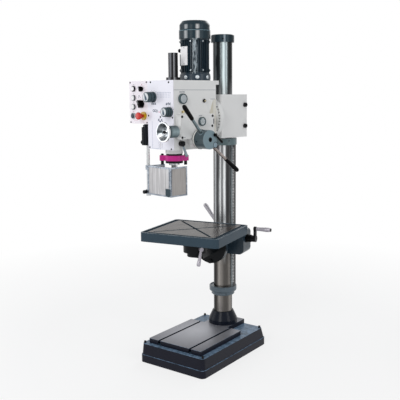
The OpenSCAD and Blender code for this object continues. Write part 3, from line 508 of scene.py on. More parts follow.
def baseFinish():
    p = basePlan
    f = Finish("base casting", Specular_IOR_Level=0.12)
    where = f.place()
    x, y, z = f.parts(where)
    flat = f.facing()[2] > 0.7
    # painted highlight on the ground pad, fading with the distance from one spot
    paintedHighlight = (1 - reach(*f.parts(f.place(centre=p["highlightAt"]))[:2]) / p["highlightR"]).kept()
    pad, ledge = (z > p["padZ"]) * flat, (z > p["ledgeZ"]) * flat
    slow, cast = f.cloud(where, 90, 4), f.cloud(where, 4, 4)
    grind = f.cloud(f.place(0.0, (1, 0.03, 1)), 1.6, 3)
    sides = f.between(slow, *tones("141622", 0.2))
    paint = f.between(ledge, sides, f.between(slow, *tones("2B3C48", 0.15)))
    ground = f.between(grind * 0.5 + slow * 0.5, *tones("64656C", 0.25))
    ground = f.between(paintedHighlight, ground, f.between(slow, *tones("ACADB3", 0.15)))
    # painted edge highlights: thin light lines at set heights, broken up by noise, off the pad
    line = sum(abs(z - at) < half for at, half in p["edges"]).kept()
    edgeHighlight = line * ((f.cloud(where, 20, 3) - 0.2) * 2).kept() * (1 - pad)
    f.put("Base Color", f.between(edgeHighlight, f.between(pad, paint, ground), "7790AA"))
    f.put("Metallic", pad * 0.6)
    f.put("Coat Weight", (1 - pad) * 0.06)
    return f.finished(pad * 0.04 + (slow - 0.5) * 0.2 + 0.33, cast * (1 - pad) + grind * pad * 0.25, 0.35, 0.6)


# painted casting with a ground top inside its rim: long grinding lines and stains, a light line along the rim's
# top edge as a painted edge highlight, and painted shade on the underside
tablePlan = dict(middle=(0, -390.5, 0), halfX=204, halfY=190, topZ=810.4, rimZ=810.3, rimHalf=1.1, shadedBelowZ=758)


def tableFinish():
    p = tablePlan
    f = Finish("table casting", Specular_IOR_Level=0.08)
    where = f.place(tableYaw)
    x, y, z = f.parts(f.place(tableYaw, centre=p["middle"]))
    up = f.facing()[2] > 0.7
    inside = (abs(x) < p["halfX"]) * (abs(y) < p["halfY"])
    ground = (z > p["topZ"]) * up * inside
    # painted edge highlight: a thin light line at the rim's height, broken up by noise
    rim = (abs(z - p["rimZ"]) < p["rimHalf"]) * (1 - ground) * (f.cloud(where, 14, 4) > 0.5)
    slow, cast = f.cloud(where, 80, 5), f.cloud(where, 3.5, 4)
    grind = f.cloud(f.place(tableYaw, (0.03, 1, 1)), 1.5, 3)
    # painted shade: below the underside height the same paint turns near-black
    paint = f.between(z < p["shadedBelowZ"], f.between(slow, *tones("35444F", 0.12)), "15191D")
    metal = f.between(grind * 0.4 + slow * 0.6, *tones("403A37", 0.3))
    f.put("Base Color", f.between(rim * 0.5, f.between(ground, paint, metal), "77828A"))
    f.put("Metallic", ground * 0.35)
    f.put("Coat Weight", (1 - ground) * 0.06)
    rough = (slow - 0.5) * 0.2 - ground * 0.1 + 0.36
    return f.finished(rough, cast * (1 - ground) + grind * ground * 0.2, 0.35, 0.6)


# clear sheet gone grey, with upright wipe marks; the side sheet is painted darker, warmer and more even, as
# painted shade
def guardFinish():
    f = Finish("guard sheet", IOR=1.49)
    streak, fine = f.cloud(f.place(headYaw, (1, 1, 0.05)), 9, 4, 0.6), f.cloud(f.place(), 2.5, 2)
    side = f.between(streak, (0.36, 0.33, 0.31), (0.52, 0.49, 0.47))
    wide = f.between(((streak - 0.5) * 2 + 0.5).kept(), (0.40, 0.385, 0.39), (0.82, 0.81, 0.82))
    # painted shade: the sheet picked by its facing takes the darker, warmer tone
    f.put("Base Color", f.between(f.facing()[1] < -0.6, side, wide))
    f.put("Alpha", ((streak - 0.5) * 0.3 + (fine - 0.5) * 0.1 + 0.82).kept())
    return f.finished(fine * 0.15 + 0.16, streak, 0.05, 0.3)


# a bright handle on a black foot, parted where the handle leaves the clamp
clampPlan = dict(handleX=-88)


def clampFinish():
    f = Finish("clamp lever")
    where = f.place(tableYaw)
    bright = f.parts(where)[0] < clampPlan["handleX"]
    slow = f.cloud(where, 8, 3)
    f.put("Base Color", f.between(bright, (0.015, 0.015, 0.017), "B4B1B8"))
    f.put("Metallic", bright * 0.5)
    return f.finished((1 - bright) * 0.12 + slow * 0.1 + 0.2, slow, 0.05, 0.2)


# a black hexagon with a pale plug in its middle, and a pale fitting further forward: parted by place and by
# the squared distance from the plug's axis
fittingPlan = dict(plugAt=(0, -264, 1527), plugReach=22, standsOut=7.3, aheadY=-300)


def fittingFinish():
    p = fittingPlan
    f = Finish("oil fittings")
    where = f.place(headYaw)
    x, y, z = f.parts(where)
    v, w = f.parts(f.place(headYaw, centre=p["plugAt"]))[1:]
    behind = y > p["aheadY"]
    outside = v * v + w * w > p["plugReach"]
    black = (1 - (1 - outside) * (x > headPlan["side"] + p["standsOut"])) * behind
    grain = f.cloud(where, 1.4, 3)
    metal = f.between(behind, f.between(grain, *tones("C2B58E", 0.15)), f.between(grain, *tones("C9BE9C", 0.1)))
    f.put("Base Color", f.between(black, metal, soot))
    f.put("Metallic", 1 - black * 0.5)
    return f.finished(grain * 0.12 + 0.24, grain, 0.08, 0.2)


# feed levers: the same steel on both, with painted reflections, bluish on the upper one and browner on the
# lower one, parted at the hub's axis
def leverFinish():
    f = Finish("feed lever steel", Metallic=0.8)
    where = f.place(headYaw)
    cloud = f.cloud(where, 12, 3)
    upper, lower = f.between(cloud, "5C6C71", "7C8B90"), f.between(cloud, "5A504D", "ABA29D")
    f.put("Base Color", f.between(f.parts(where)[1] > headPlan["hubY"], upper, lower))
    return f.finished(cloud * 0.12 + 0.18, cloud, 0.05, 0.2)


# a round barrel seen from the front: painted shading, a painted highlight level with its axis fading to painted
# shade above and below, 1 - |z| / radius
dialPlan = dict(radius=30, dark="46565B", litTone="93A5A9")


def dialFinish():
    p = dialPlan
    f = Finish("fine feed dial", Specular_IOR_Level=0.25)
    where = f.place(headYaw)
    z = f.parts(f.place(headYaw, centre=(0, 0, headPlan["wheelZ"])))[2]
    f.put("Base Color", f.between((1 - abs(z) / p["radius"]).kept(), p["dark"], p["litTone"]))
    return f.finished(f.cloud(where, 12, 3) * 0.15 + 0.22, f.cloud(where, 2.0, 2), 0.1, 0.3)


# glossy rounds: painted highlights, pale upright streaks on a dark ground, by the angle about an axis, atan2(y,
# x)
highlightPlan = dict(
    tube=dict(yaw=headYaw, axisY=headPlan["spindleY"], hue=(0.92, 0.97, 1.12), gloss=0.08, seam=0,
              stops=[(0.0, 0.01), (0.235, 0.012), (0.265, 0.22), (0.31, 0.17), (0.335, 0.012), (0.385, 0.012),
                     (0.405, 0.36), (0.435, 0.12), (0.46, 0.006), (0.60, 0.004), (0.80, 0.08), (1.0, 0.01)]),
    cowl=dict(yaw=headYaw, axisY=headPlan["motorY"], hue=(0.48, 1.0, 1.35), gloss=0.1, seam=1921,
              stops=[(0.0, 0.026), (0.255, 0.03), (0.277, 0.42), (0.288, 0.42), (0.312, 0.034), (0.382, 0.034),
                     (0.401, 0.50), (0.412, 0.50), (0.435, 0.038), (0.60, 0.018), (0.80, 0.12), (1.0, 0.026)]),
    cap=dict(yaw=0.0, axisY=0.0, hue=(0.48, 1.0, 1.35), gloss=0.1, seam=0,
             stops=[(0.0, 0.03), (0.20, 0.04), (0.33, 0.05), (0.352, 0.06), (0.366, 0.36), (0.376, 0.32),
                    (0.392, 0.05), (0.45, 0.026), (0.60, 0.024), (0.80, 0.12), (1.0, 0.03)]))


# the cowl's seam: how far over it the dome's plain paint starts, and the thin line just under it
seamPlan = dict(domeUp=25, fade=8, beside=5, lineDown=2, lineHalf=1.4, plain=0.034, line="6F858F")


# a painted highlight tone: in the hue of the paint where it is dark, and nearly white where the highlight is
# bright: g (h + (1 - h) 2.2 g)
def highlightTone(g, hue):
    return tuple(g * (h + (1 - h) * min(1.0, 2.2 * g)) for h in hue)


def highlightFinish(name):
    p = highlightPlan[name]
    f = Finish(name + " gloss", Specular_IOR_Level=p["gloss"])
    where = f.place(p["yaw"])
    x, y, z = f.parts(f.place(p["yaw"], centre=(0, p["axisY"], 0)))
    colour = f.ramp(turnOf(x, y), [(at, highlightTone(g, p["hue"])) for at, g in p["stops"]])
    if p["seam"]:      # plain paint over the dome's top and beside the seam, which is a thin pale line
        s, above = seamPlan, z - p["seam"]
        plain = ((above - s["domeUp"]) / s["fade"]).kept() + (abs(above) < s["beside"])
        colour = f.between(plain.kept(), colour, highlightTone(s["plain"], p["hue"]))
        colour = f.between(abs(above + s["lineDown"]) < s["lineHalf"], colour, s["line"])
    f.put("Base Color", colour)
    return f.finished(f.cloud(where, 14, 3) * 0.12 + 0.2, f.cloud(where, 2.4, 2), 0.08, 0.3)


# motor paint with a painted highlight: a pale upright streak on the side that faces the front, in patches, and
# none near the bell
motorHighlightPlan = dict(at=0.38, half=0.036, strength=1.8, lowZ=1690, fade=20, paint="1B2C37", pale="BFCAD0")


def motorFinish():
    p = motorHighlightPlan
    f = Finish("motor paint", Specular_IOR_Level=0.2, Coat_Weight=0.03)
    where = f.place(headYaw)
    x, y, z = f.parts(f.place(headYaw, centre=(0, headPlan["motorY"], 0)))
    streak = ((1 - abs(turnOf(x, y) - p["at"]) / p["half"]) * p["strength"]).kept()
    patch = ((f.cloud(f.place(headYaw, (1, 1, 0.35)), 12, 3) - 0.40) * 7).kept()
    raised = 1 - ((p["lowZ"] - z) / p["fade"]).kept()
    paint = f.between(f.cloud(where, 60, 4), *tones(p["paint"], 0.16))
    f.put("Base Color", f.between(streak * patch * raised, paint, p["pale"]))
    return f.finished((f.cloud(where, 24, 4) - 0.5) * 0.18 + 0.3, f.cloud(where, 2.2, 2), 0.12, 0.3)


# quill lock: black pivot and a grey steel arm, parted by height
lockPlan = dict(armZ=1279)


def lockFinish():
    f = Finish("quill lock lever", Specular_IOR_Level=0.2)
    where = f.place(headYaw)
    arm = f.parts(where)[2] < lockPlan["armZ"]
    grain = f.cloud(where, 6, 3)
    f.put("Base Color", f.between(arm, soot, f.between(grain, "4A575E", "93A0A8")))
    f.put("Metallic", arm * 0.4)
    return f.finished(grain * 0.1 + 0.24, grain, 0.06, 0.2)


# turned hub: painted light and shade, lighter on its end face, and elsewhere painted shade darker towards the
# front, (y - darkY) / span
hubPlan = dict(faceX=239, darkY=-398, span=105)


def hubFinish():
    p = hubPlan
    f = Finish("feed hub", Specular_IOR_Level=0.3, Coat_Weight=0.1, Coat_Roughness=0.1)
    where = f.place(headYaw)
    x, y, z = f.parts(where)
    barrel = f.between(((y - p["darkY"]) / p["span"]).kept(), "3D4B50", "66767E")
    slow = f.cloud(where, 40, 4)
    f.put("Base Color", f.between(x > p["faceX"], barrel, f.between(slow, *tones("748890", 0.05))))
    return f.finished((slow - 0.5) * 0.15 + 0.3, f.cloud(where, 2.0, 2), 0.2, 0.3)


# glossy rings that hold the rack: the upper one lighter than the lower one, with a painted highlight on its
# left that turns to painted shade towards its right
collarPlan = dict(splitZ=1000, highlightX=-20, span=70)


def collarFinish():
    p = collarPlan
    f = Finish("rack collars", Specular_IOR_Level=0.3, Coat_Weight=0.1, Coat_Roughness=0.1)
    where = f.place()
    x, y, z = f.parts(where)
    slow = f.cloud(where, 60, 4)
    upper = f.between(((x - p["highlightX"]) / p["span"]).kept(), "94A5A9", "5F7276")
    f.put("Base Color", f.between(z > p["splitZ"], f.between(slow, *tones("56636C", 0.1)), upper))
    return f.finished((slow - 0.5) * 0.16 + 0.28, f.cloud(where, 2.4, 2), 0.25, 0.3)


# a lens that stays clear, with a faint ripple
def lensFinish():
    f = Finish("gauge lens", Base_Color=(0.85, 0.88, 0.9), Alpha=0.22, IOR=1.49)
    ripple = f.cloud(f.place(), 12, 2)
    return f.finished(ripple * 0.04 + 0.03, ripple, 0.03, 0.2)


# each finish with the nodes that wear it
wornBy = (
    (whitePaint, "head_bracket head_casting head_lid feed_housing control_box"),
    (platePaint, "front_plate"), (panelPaint, "control_plate"), (greyBluePaint, "table_bracket"),
    (shadedArmPaint, "table_arm"), (footPaint, "column_flange"), (motorPaint, "motor_flange"),
    (capPaint, "shaft_cap"), (magentaPaint, "depth_stop_ring"), (ringPaint, "graduated_ring"),
    (blackSteel, "levelling_studs bracket_bolts crank tilt_bolts stop_screws"),
    (silverGrip, "crank_handle table_lock_lever"), (bezelSteel, "sight_glass"),
    (turnedSteel, "spindle quill guard_rod"), (gearSteel, "motor_rotor countershaft drive_gear"),
    (blackPlastic, "crank_bush lever_grips hub_clamp_lever button_bezels rotary_switch_1 rotary_switch_2"),
    (knobPlastic, "gear_selector_1 gear_selector_2"), (glossBlack, "guard_switch"),
    (whitePlastic, "push_button_1 push_button_2 push_button_3"),
    (yellowPlastic, "stop_collar"), (redPlastic, "emergency_stop"),
    (baseFinish(), "base"), (columnFinish(), "column"), (highlightFinish("cap"), "column_cap"),
    (collarFinish(), "rack_collars"), (rackFinish(), "rack"), (clampFinish(), "column_clamp_lever"),
    (tableFinish(), "table_top"), (fittingFinish(), "oil_fittings"), (highlightFinish("tube"), "spindle_tube"),
    (motorFinish(), "motor_body"), (highlightFinish("cowl"), "fan_cover"), (hubFinish(), "feed_hub"),
    (leverFinish(), "feed_levers"), (wheelFinish(), "fine_feed_wheel"), (dialFinish(), "fine_feed_dial"),
    (lockFinish(), "quill_lock_lever"), (guardSteelFinish(), "guard_frame"), (guardFinish(), "guard_panels"))


# the solids keep their meshes and get only their finishes
def dressNodes():
    nodeFinish = {name: finish for finish, names in wornBy for name in names.split()}
    for name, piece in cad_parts.items():
        for place in piece.material_slots:
            place.material = nodeFinish[name]
        if not piece.material_slots:
            piece.data.materials.append(nodeFinish[name])
    print("finishes set on", len(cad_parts), "nodes")


# screws in the front plates, each at (x, z), and in the side cover, each at (y, z)
screwPlan = dict(
    plate=dict(r=5.2, h=1.6, spots=[(-81, 1631), (72, 1628), (-102, 1446), (100, 1438), (-96, 1268), (88, 1266),
                                    (0, 1440)]),
    control=dict(r=4.8, h=1.6, spots=[(-264, 1632), (-117, 1632), (-264, 1406), (-117, 1406)]),
    cover=dict(r=7.0, h=2.8, spots=[(-470, 1443), (-469, 1330), (-237, 1443), (-240, 1387), (-236, 1334)]))


# round heads with a flat rim and a socket in them
def addScrews():
    for name, p in screwPlan.items():
        r, h = p["r"], p["h"]
        steps = [(r, 0), (r, h * 0.55), (r * 0.8, h), (r * 0.48, h), (r * 0.45, h * 0.3)]
        if name == "cover":
            heads = [stackedRings(steps, (headPlan["coverX"], y, z), right, 18) for y, z in p["spots"]]
        else:
            heads = [stackedRings(steps, (x, headPlan["plateY"], z), front, 18) for x, z in p["spots"]]
        makePiece(name + "_screws", heads, blackSteel, 40)
    print("screws set")


# marks on the front plate: each has its x and z first, then a length and width, a radius or an angle
markPlan = dict(ink=0.25, speedRows=(1572, 1563.5, 1555.5, 1548), speedFrom=-24, speedStep=13.2, speedCount=9,
                frame=[(-72, 1340, 1.6, 150), (-38, 1264, 70, 1.6), (-3, 1264, 1.6, 8)],
                dials=[(-60, 1549, 37), (78, 1468, 34)], dialAngles=(25, 50, 75, 105, 130, 155),
                signs=[(-70, 1511), (-56, 1511), (-42, 1511), (52, 1510), (66, 1512), (80, 1511)],
                loops=[(-58, 1474), (-44, 1474), (-30, 1472)], blocks=[(-2, 1415, 9, 7), (-2, 1405, 8, 3)],
                arrows=[(-16, 1424, 50), (-12, 1422, -50), (8, 1424, 50), (12, 1422, -50)],
                rose=[(-14, 1468, 60), (-7, 1466, -60), (0, 1468, 60), (7, 1465, -60), (14, 1467, 60)],
                slotX=(-15, 11), slotZ=(1270, 1302), slotStep=4.5)


# one printed mark on the front plate
def mark(x, z, length, width, angle=0):
    return x, headPlan["plateY"], z, length, width, markPlan["ink"], angle


# marks in a ring round a spot, each turned with its own angle: spot + r (cos a, sin a)
def markRing(x, z, r, length, width, angles):
    return [mark(x + r * c, z + r * s, length, width, a) for a in angles for c, s in [cosSin(a)]]


def addPlateMarks():
    p = markPlan
    pale = [mark(p["speedFrom"] + k * p["speedStep"] + s, z, 3.2, 3.4) for z in p["speedRows"]
            for k in range(p["speedCount"]) for s in ((0, 4.6) if z == p["speedRows"][0] else (0,))]
    pale += [mark(*row) for row in p["frame"]]
    makePiece("speed_marks", strips(pale, front), inkPale)
    dark = [m for x, z, r in p["dials"] for m in markRing(x, z, r, 6, 1.6, p["dialAngles"])]
    dark += [mark(x, z, 10, 8) for x, z in p["signs"]] + [mark(x + 2, z + 6, 8, 3, 25) for x, z in p["signs"]]
    dark += [m for x, z in p["loops"] for m in markRing(x, z, 6, 3.2, 5.4, range(0, 360, 45))]
    dark += [mark(x, z, 17, 4.4, a) for x, z, a in p["arrows"]]
    dark += [mark(*row) for row in p["blocks"]]
    dark += [mark(x, z, 6, 1.2) for x in p["slotX"] for z in np.arange(*p["slotZ"], p["slotStep"])]
    makePiece("front_plate_marks", strips(dark, front), inkBlue)
    rose = [mark(x, z, 8, 2.6, a) for x, z, a in p["rose"]]
    makePiece("plate_rose_marks", strips(rose, front), inkRose)
    print("front plate marked")


controlPlan = dict(buttons=[(-232, 1597), (-233, 1545), (-235, 1494)], lampX=-238, lampZ=1443, rim=17.0,
                   lens=14.6, dials=[(1595, 21), (1511, 28)], dialX=-160, dialAngles=(55, 90, 125),
                   signs=[(-160, 1621), (-238, 1467), (-226, 1418), (-208, 1416)],
                   hand=[(-184, 1557, 5, 9, 25), (-176, 1549, 12, 2, -30), (-190, 1548, 2, 12, 10)])


# signs beside the buttons and switches, the signal lamp, and thin rims in two buttons
def addControlTrim():
    p = controlPlan
    rose = [mark(x, z, 8, 2.2) for x, z in p["signs"]]
    rose += [m for z, r in p["dials"] for m in markRing(p["dialX"], z, r, 5, 1.4, p["dialAngles"])]
    makePiece("control_signs", strips(rose, front), inkRose)
    dark = [mark(x, z + 23, 9, 1.8) for x, z in p["buttons"]] + [mark(*row) for row in p["hand"]]
    makePiece("control_marks", strips(dark, front), inkBlue)
    spot = (p["lampX"], headPlan["plateY"], p["lampZ"])
    r, lens = p["rim"], p["lens"]
    rim = hollowRings([(r, 0), (r, 7), (r - 1, 8), (lens + 0.5, 8), (lens + 0.3, 0)], spot, front, 40)
    makePiece("lamp_rim", rim, greyCap, 35)
    dome = [(lens, 0), (lens, 9), (lens * 0.86, 11), (lens * 0.5, 12.2), (lens * 0.15, 12.6)]
    makePiece("lamp_lens", stackedRings(dome, spot, front, 40), lampPlastic, 50)
    steps = [(16.0, 8.0), (16.0, 8.6), (15.2, 9.2), (13.0, 9.2), (12.4, 8.0)]
    rims = [hollowRings(steps, (x, headPlan["plateY"], z), front, 40) for x, z in p["buttons"][1:]]
    makePiece("button_rims", rims, greyCap, 40)
    print("control plate dressed")


capPlan = dict(selectors=[("gear_selector_1", "selector_1", -60, 1549, 23.2, 55, 22),
                          ("gear_selector_2", "selector_2", 78, 1468, 20.7, 46, 8)],
               switches=[("rotary_switch_1", "switch_1", 1595, 14, 22),
                         ("rotary_switch_2", "switch_2", 1511, 21, 30)],
               switchX=-160, switchLean=115)


# a cap, a turned pointer, (p c - q s, p s + q c), and rings for each selector, and a line for each switch
def addCaps():
    y = headPlan["plateY"]
    for name, body, x, z, r, length, lean in capPlan["selectors"]:
        face = (x, y - length + 2, z)
        makePiece(name + "_cap",
                  stackedRings([(r, -0.2), (r, 2.2), (r - 1, 3.0), (r * 0.5, 3.2)], face, front, 48),
                  capPlastic, 40, body)
        c, s = cosSin(90 + lean)
        wedge = [(0.9 * r, -1.2), (0.9 * r, 1.2), (-0.15 * r, 0.34 * r), (-0.75 * r, 0.3 * r),
                 (-0.75 * r, -0.3 * r), (-0.15 * r, -0.34 * r)]
        outline = [(p * c - q * s, p * s + q * c) for p, q in wedge]
        makePiece(name + "_pointer", plateShape(outline, (x, face[1] - 2.9, z), front, 1.2), inkBlue,
                  body=body)
        bands = ((0.4, 3, r + 6.6), (12.6, 15, r + 5.7), (length * 0.62, length * 0.62 + 1.6, r + 5.6))
        rings = [hollowRings([(out, low), (out, high), (r + 4, high), (r + 4, low)], (x, y, z), front, 48)
                 for low, high, out in bands]
        makePiece(name + "_rings", rings, blackPlastic, 40, body)
    lean = capPlan["switchLean"]
    c, s = cosSin(lean)
    for name, body, z, r, length in capPlan["switches"]:
        row = (capPlan["switchX"] + 0.5 * r * c, y - length, z + 0.5 * r * s, r * 0.8, 2.2, 0.4, lean)
        makePiece(name + "_line", strips([row], front), capPlastic, body=body)
    print("knob caps fitted")


scalePlan = dict(centreY=-150, radius=127.05, thick=0.5, low=-17.5, high=-2.5, spread=36, tickFrom=-32,
                 tickStep=4)


# degree marks on the rim of the head's round flange, long and short in turn, on both sides
def addSwivelScale():
    p = scalePlan
    centre = (0, p["centreY"], headPlan["swivelZ"])
    r, low, spread = p["radius"], p["low"], p["spread"]
    bands, ticks = [], []
    for side in (0, 180):
        ends = (side - spread, side + spread)
        bands.append(arcBand(r, p["thick"], low, p["high"], ends, centre, rear))
        for k, a in enumerate(np.arange(p["tickFrom"], 0.1 - p["tickFrom"], p["tickStep"])):
            high, ends = low + (14.5 if k % 2 == 0 else 10.5), (side + a - 1.3, side + a + 1.3)
            ticks.append(arcBand(r + p["thick"], 0.3, low + 1, high, ends, centre, rear, 3))
    makePiece("swivel_scale", bands, scaleWhite, 40)
    makePiece("swivel_marks", ticks, inkBlack)
    print("swivel scale fitted")


slotPlan = dict(frontRow=(75.5, -500, 1098, 2.6, 112, 0.3, 0), sideRow=(83, -492.6, 1080, 2.6, 150, 0.3, 0))


# two dark slots down the guard's corner post, one on each face
def addGuardTrim():
    slots = [strips([slotPlan["frontRow"]], front), strips([slotPlan["sideRow"]], right)]
    makePiece("guard_slots", slots, inkBlack, body="guard")
    print("guard dressed")


feedPlan = dict(ringR=54.52, ringX=156.5, ringTicks=60, edgeX=(155.0, 168.2), hubEnd=241, leverX=201,
                leverAngles=(138, 318), tilt=10.7, bossAngle=322, bossAt=50, bossDeep=24, holeX=186,
                holeAngles=(192, 248), nutY=-580, dialY=-497, dialR=33.02, dialTicks=40)


# long and short ticks round an axis, every fifth one long
def tickRing(r, thick, start, count, half, centre, normal):
    middles = [(k, 360 / count * k) for k in range(count)]
    return [arcBand(r, thick, start, start + (5 if k % 5 else 9), (a - half, a + half), centre, normal, 2)
            for k, a in middles]


def addFeedDetail():
    p = feedPlan
    y, z = headPlan["hubY"], headPlan["hubZ"]
    makePiece("ring_graduations",
              tickRing(p["ringR"], 0.25, p["ringX"], p["ringTicks"], 0.45, (0, y, z), right), inkBlack,
              body="feed")
    edges = [hollowRings([(55.3, low), (55.3, low + 1.1), (53.6, low + 1.1), (53.6, low)], (0, y, z), right, 72)
             for low in p["edgeX"]]
    makePiece("ring_edges", edges, blackSteel, 40, "feed")
    screw = [(13, -8), (13, 0.3), (12.2, 0.8), (6.2, 0.8), (5.8, -5)]
    makePiece("hub_screw", stackedRings(screw, (p["hubEnd"], y, z), right, 24), blackPlastic, 35,
              "feed")
    # a collar where each lever enters the hub, along the lever: (sin tilt, cos tilt cos a, cos tilt sin a)
    tiltC, tiltS = cosSin(p["tilt"])
    steps = [(13, 47), (13, 56), (11.5, 59.5), (9.7, 60), (9.7, 47)]
    collars = [hollowRings(steps, (p["leverX"], y, z), (tiltS, tiltC * c, tiltC * s), 28)
               for c, s in map(cosSin, p["leverAngles"])]
    makePiece("lever_collars", collars, hubPaint, 35, "feed")
    # the round boss beside the lower lever's root, ringed in black, and low enough for the clamp lever to pass
    c, s = cosSin(p["bossAngle"])
    spot = (p["hubEnd"] - p["bossDeep"], y + p["bossAt"] * c, z + p["bossAt"] * s)
    boss = stackedRings([(14.5, 0), (14.5, 24.1), (13.8, 24.5), (5, 24.6)], spot, right, 32)
    makePiece("lever_boss", boss, bossPaint, 40, "feed")
    ring = hollowRings([(18, 4), (18, 23.6), (17, 24.4), (14.6, 24.4), (14.6, 4)], spot, right, 32)
    makePiece("boss_ring", ring, blackSteel, 40, "feed")
    holes = [stackedRings([(4.2, 52.4), (4.2, 53.3), (3.4, 53.4)], (p["holeX"], y, z), (0, c, s), 16)
             for c, s in map(cosSin, p["holeAngles"])]
    makePiece("hub_set_screws", holes, blackSteel, 40, "feed")
    nut = (headPlan["wheelX"], p["nutY"], headPlan["wheelZ"])
    makePiece("handwheel_nut", stackedRings([(9, -1), (9, 4), (7.5, 6), (3.5, 6.2), (3.2, 3)], nut, front, 6),
              blackSteel, body="fine_feed")
    dial = (headPlan["wheelX"], p["dialY"], headPlan["wheelZ"])
    makePiece("dial_graduations", tickRing(p["dialR"], 0.2, 24, p["dialTicks"], 0.7, dial, front), inkBlack)
    print("feed hub dressed")


# the head's right side; rows of small signs are (face, first y, z, step, count, length, width)
sidePlan = dict(capY=-430, capZ=1539, gaugeY=-325, gaugeZ=1414, gaugeDeep=9, seamZ=1587,
                seams=((-330, 322), (-220, 100)), slot=(-228, 1412, 7, 28), padHigh=3,
                padEdge=(-179, 1419, 17, 232), padLine=(-196, 1536, 38, 1.6),
                signs=[("side", -446, 1576, 8, 5, 5, 4.5), ("coverX", -342, 1446, 7, 4, 4.5, 3.5),
                       ("coverX", -455, 1331, 6, 2, 4, 3)],
                padRound=[(-219, 1330), (-191, 1330), (-191, 1531), (-199, 1518), (-210, 1496), (-219, 1462)])


def addSideTrim():
    p = sidePlan
    s, cover, gy, gz = headPlan["side"], headPlan["coverX"], p["gaugeY"], p["gaugeZ"]
    cap = (s + 13, p["capY"], p["capZ"])
    face = stackedRings([(21.8, -0.2), (21.8, 1.0), (20.6, 1.7), (8, 1.9)], cap, right, 48)
    makePiece("shaft_cap_face", face, greyCap, 40)
    barrel = [(24.6, 0), (24.6, 13), (23.2, 14), (19.6, 14), (19.2, 6)]
    makePiece("gauge_barrel", hollowRings(barrel, (cover, gy, gz), right, 44), capPaint, 35)
    x = cover + p["gaugeDeep"]
    makePiece("gauge_face", stackedRings([(19.1, -6), (19.1, 1.2), (8, 1.3)], (x, gy, gz), right, 40),
              gaugeGrey, 40)
    rows = [(x + 1.3, gy, gz + h, length, 1.5, 0.3, 0) for h, length in ((-7, 20), (0, 27), (7, 20))]
    rows += [(x + 1.3, gy + 9 * c, gz + 9 * d, 6, 1.2, 0.3, 45 * c * d) for c in (-1, 1) for d in (-1, 1)]
    makePiece("gauge_lines", strips(rows, right), inkBlack)
    lens = stackedRings([(19.0, 1.7), (19.0, 2.4), (14, 3.4), (5, 3.8)], (x, gy, gz), right, 40)
    makePiece("gauge_lens", lens, lensFinish(), 60)
    signs = [(headPlan[at], y + k * step, z, length, width, markPlan["ink"], 0)
             for at, y, z, step, count, length, width in p["signs"] for k in range(count)]
    makePiece("side_signs", strips(signs, right), inkBlue)
    makePiece("cover_slot", strips([(cover, *p["slot"], 0.5, 0)], right), inkBlack)
    # the side pad's front edge is a long round, shown as a flat cream strip of painted shade, with a paler
    # strip of painted shade behind it and a line on top
    pad = s + p["padHigh"]
    makePiece("pad_round_shade", plateShape(p["padRound"], (pad, 0, 0), right, 0.5), roundShade)
    makePiece("pad_edge_shade", strips([(pad, *p["padEdge"], 0.4, 0)], right), paleRoundShade)
    makePiece("pad_outline", strips([(pad, *p["padLine"], 0.4, 0)], right), inkBlue)
    seams = [strips([(x, y, p["seamZ"], length, 1.6, 0.3, 0)], side)
             for x, side, (y, length) in zip((s, -s), (right, left), p["seams"])]
    makePiece("lid_seam", seams, inkBlue)
    print("side of the head dressed")


motorPlan = dict(plateW=56, plateH=104, plateZ=1778, lugZ=(1698, 1858), lugAngles=(-108, -60, -12, 40, 92, 232),
                 plugZ=1659.3, plugAngles=range(10, 360, 45), eyeAngle=204, eyeZ=1812, eyeR=84, boxAngle=160,
                 boxZ=1762, boxR=128, boxHalf=(33, 26), glandZ=1729.2, glandR=104)


# the point at a radius and plan angle round the motor axis: axis + r (cos a, sin a)
def roundMotor(r, a, z):
    c, s = cosSin(a)
    return r * c, headPlan["motorY"] + r * s, z


def outward(a):
    return *cosSin(a), 0


# small rounds that stand out of the motor, their steps measured from its axis
def motorRounds(steps, spots, sides):
    return [stackedRings(steps, roundMotor(0, a, z), outward(a), sides) for z, a in spots]


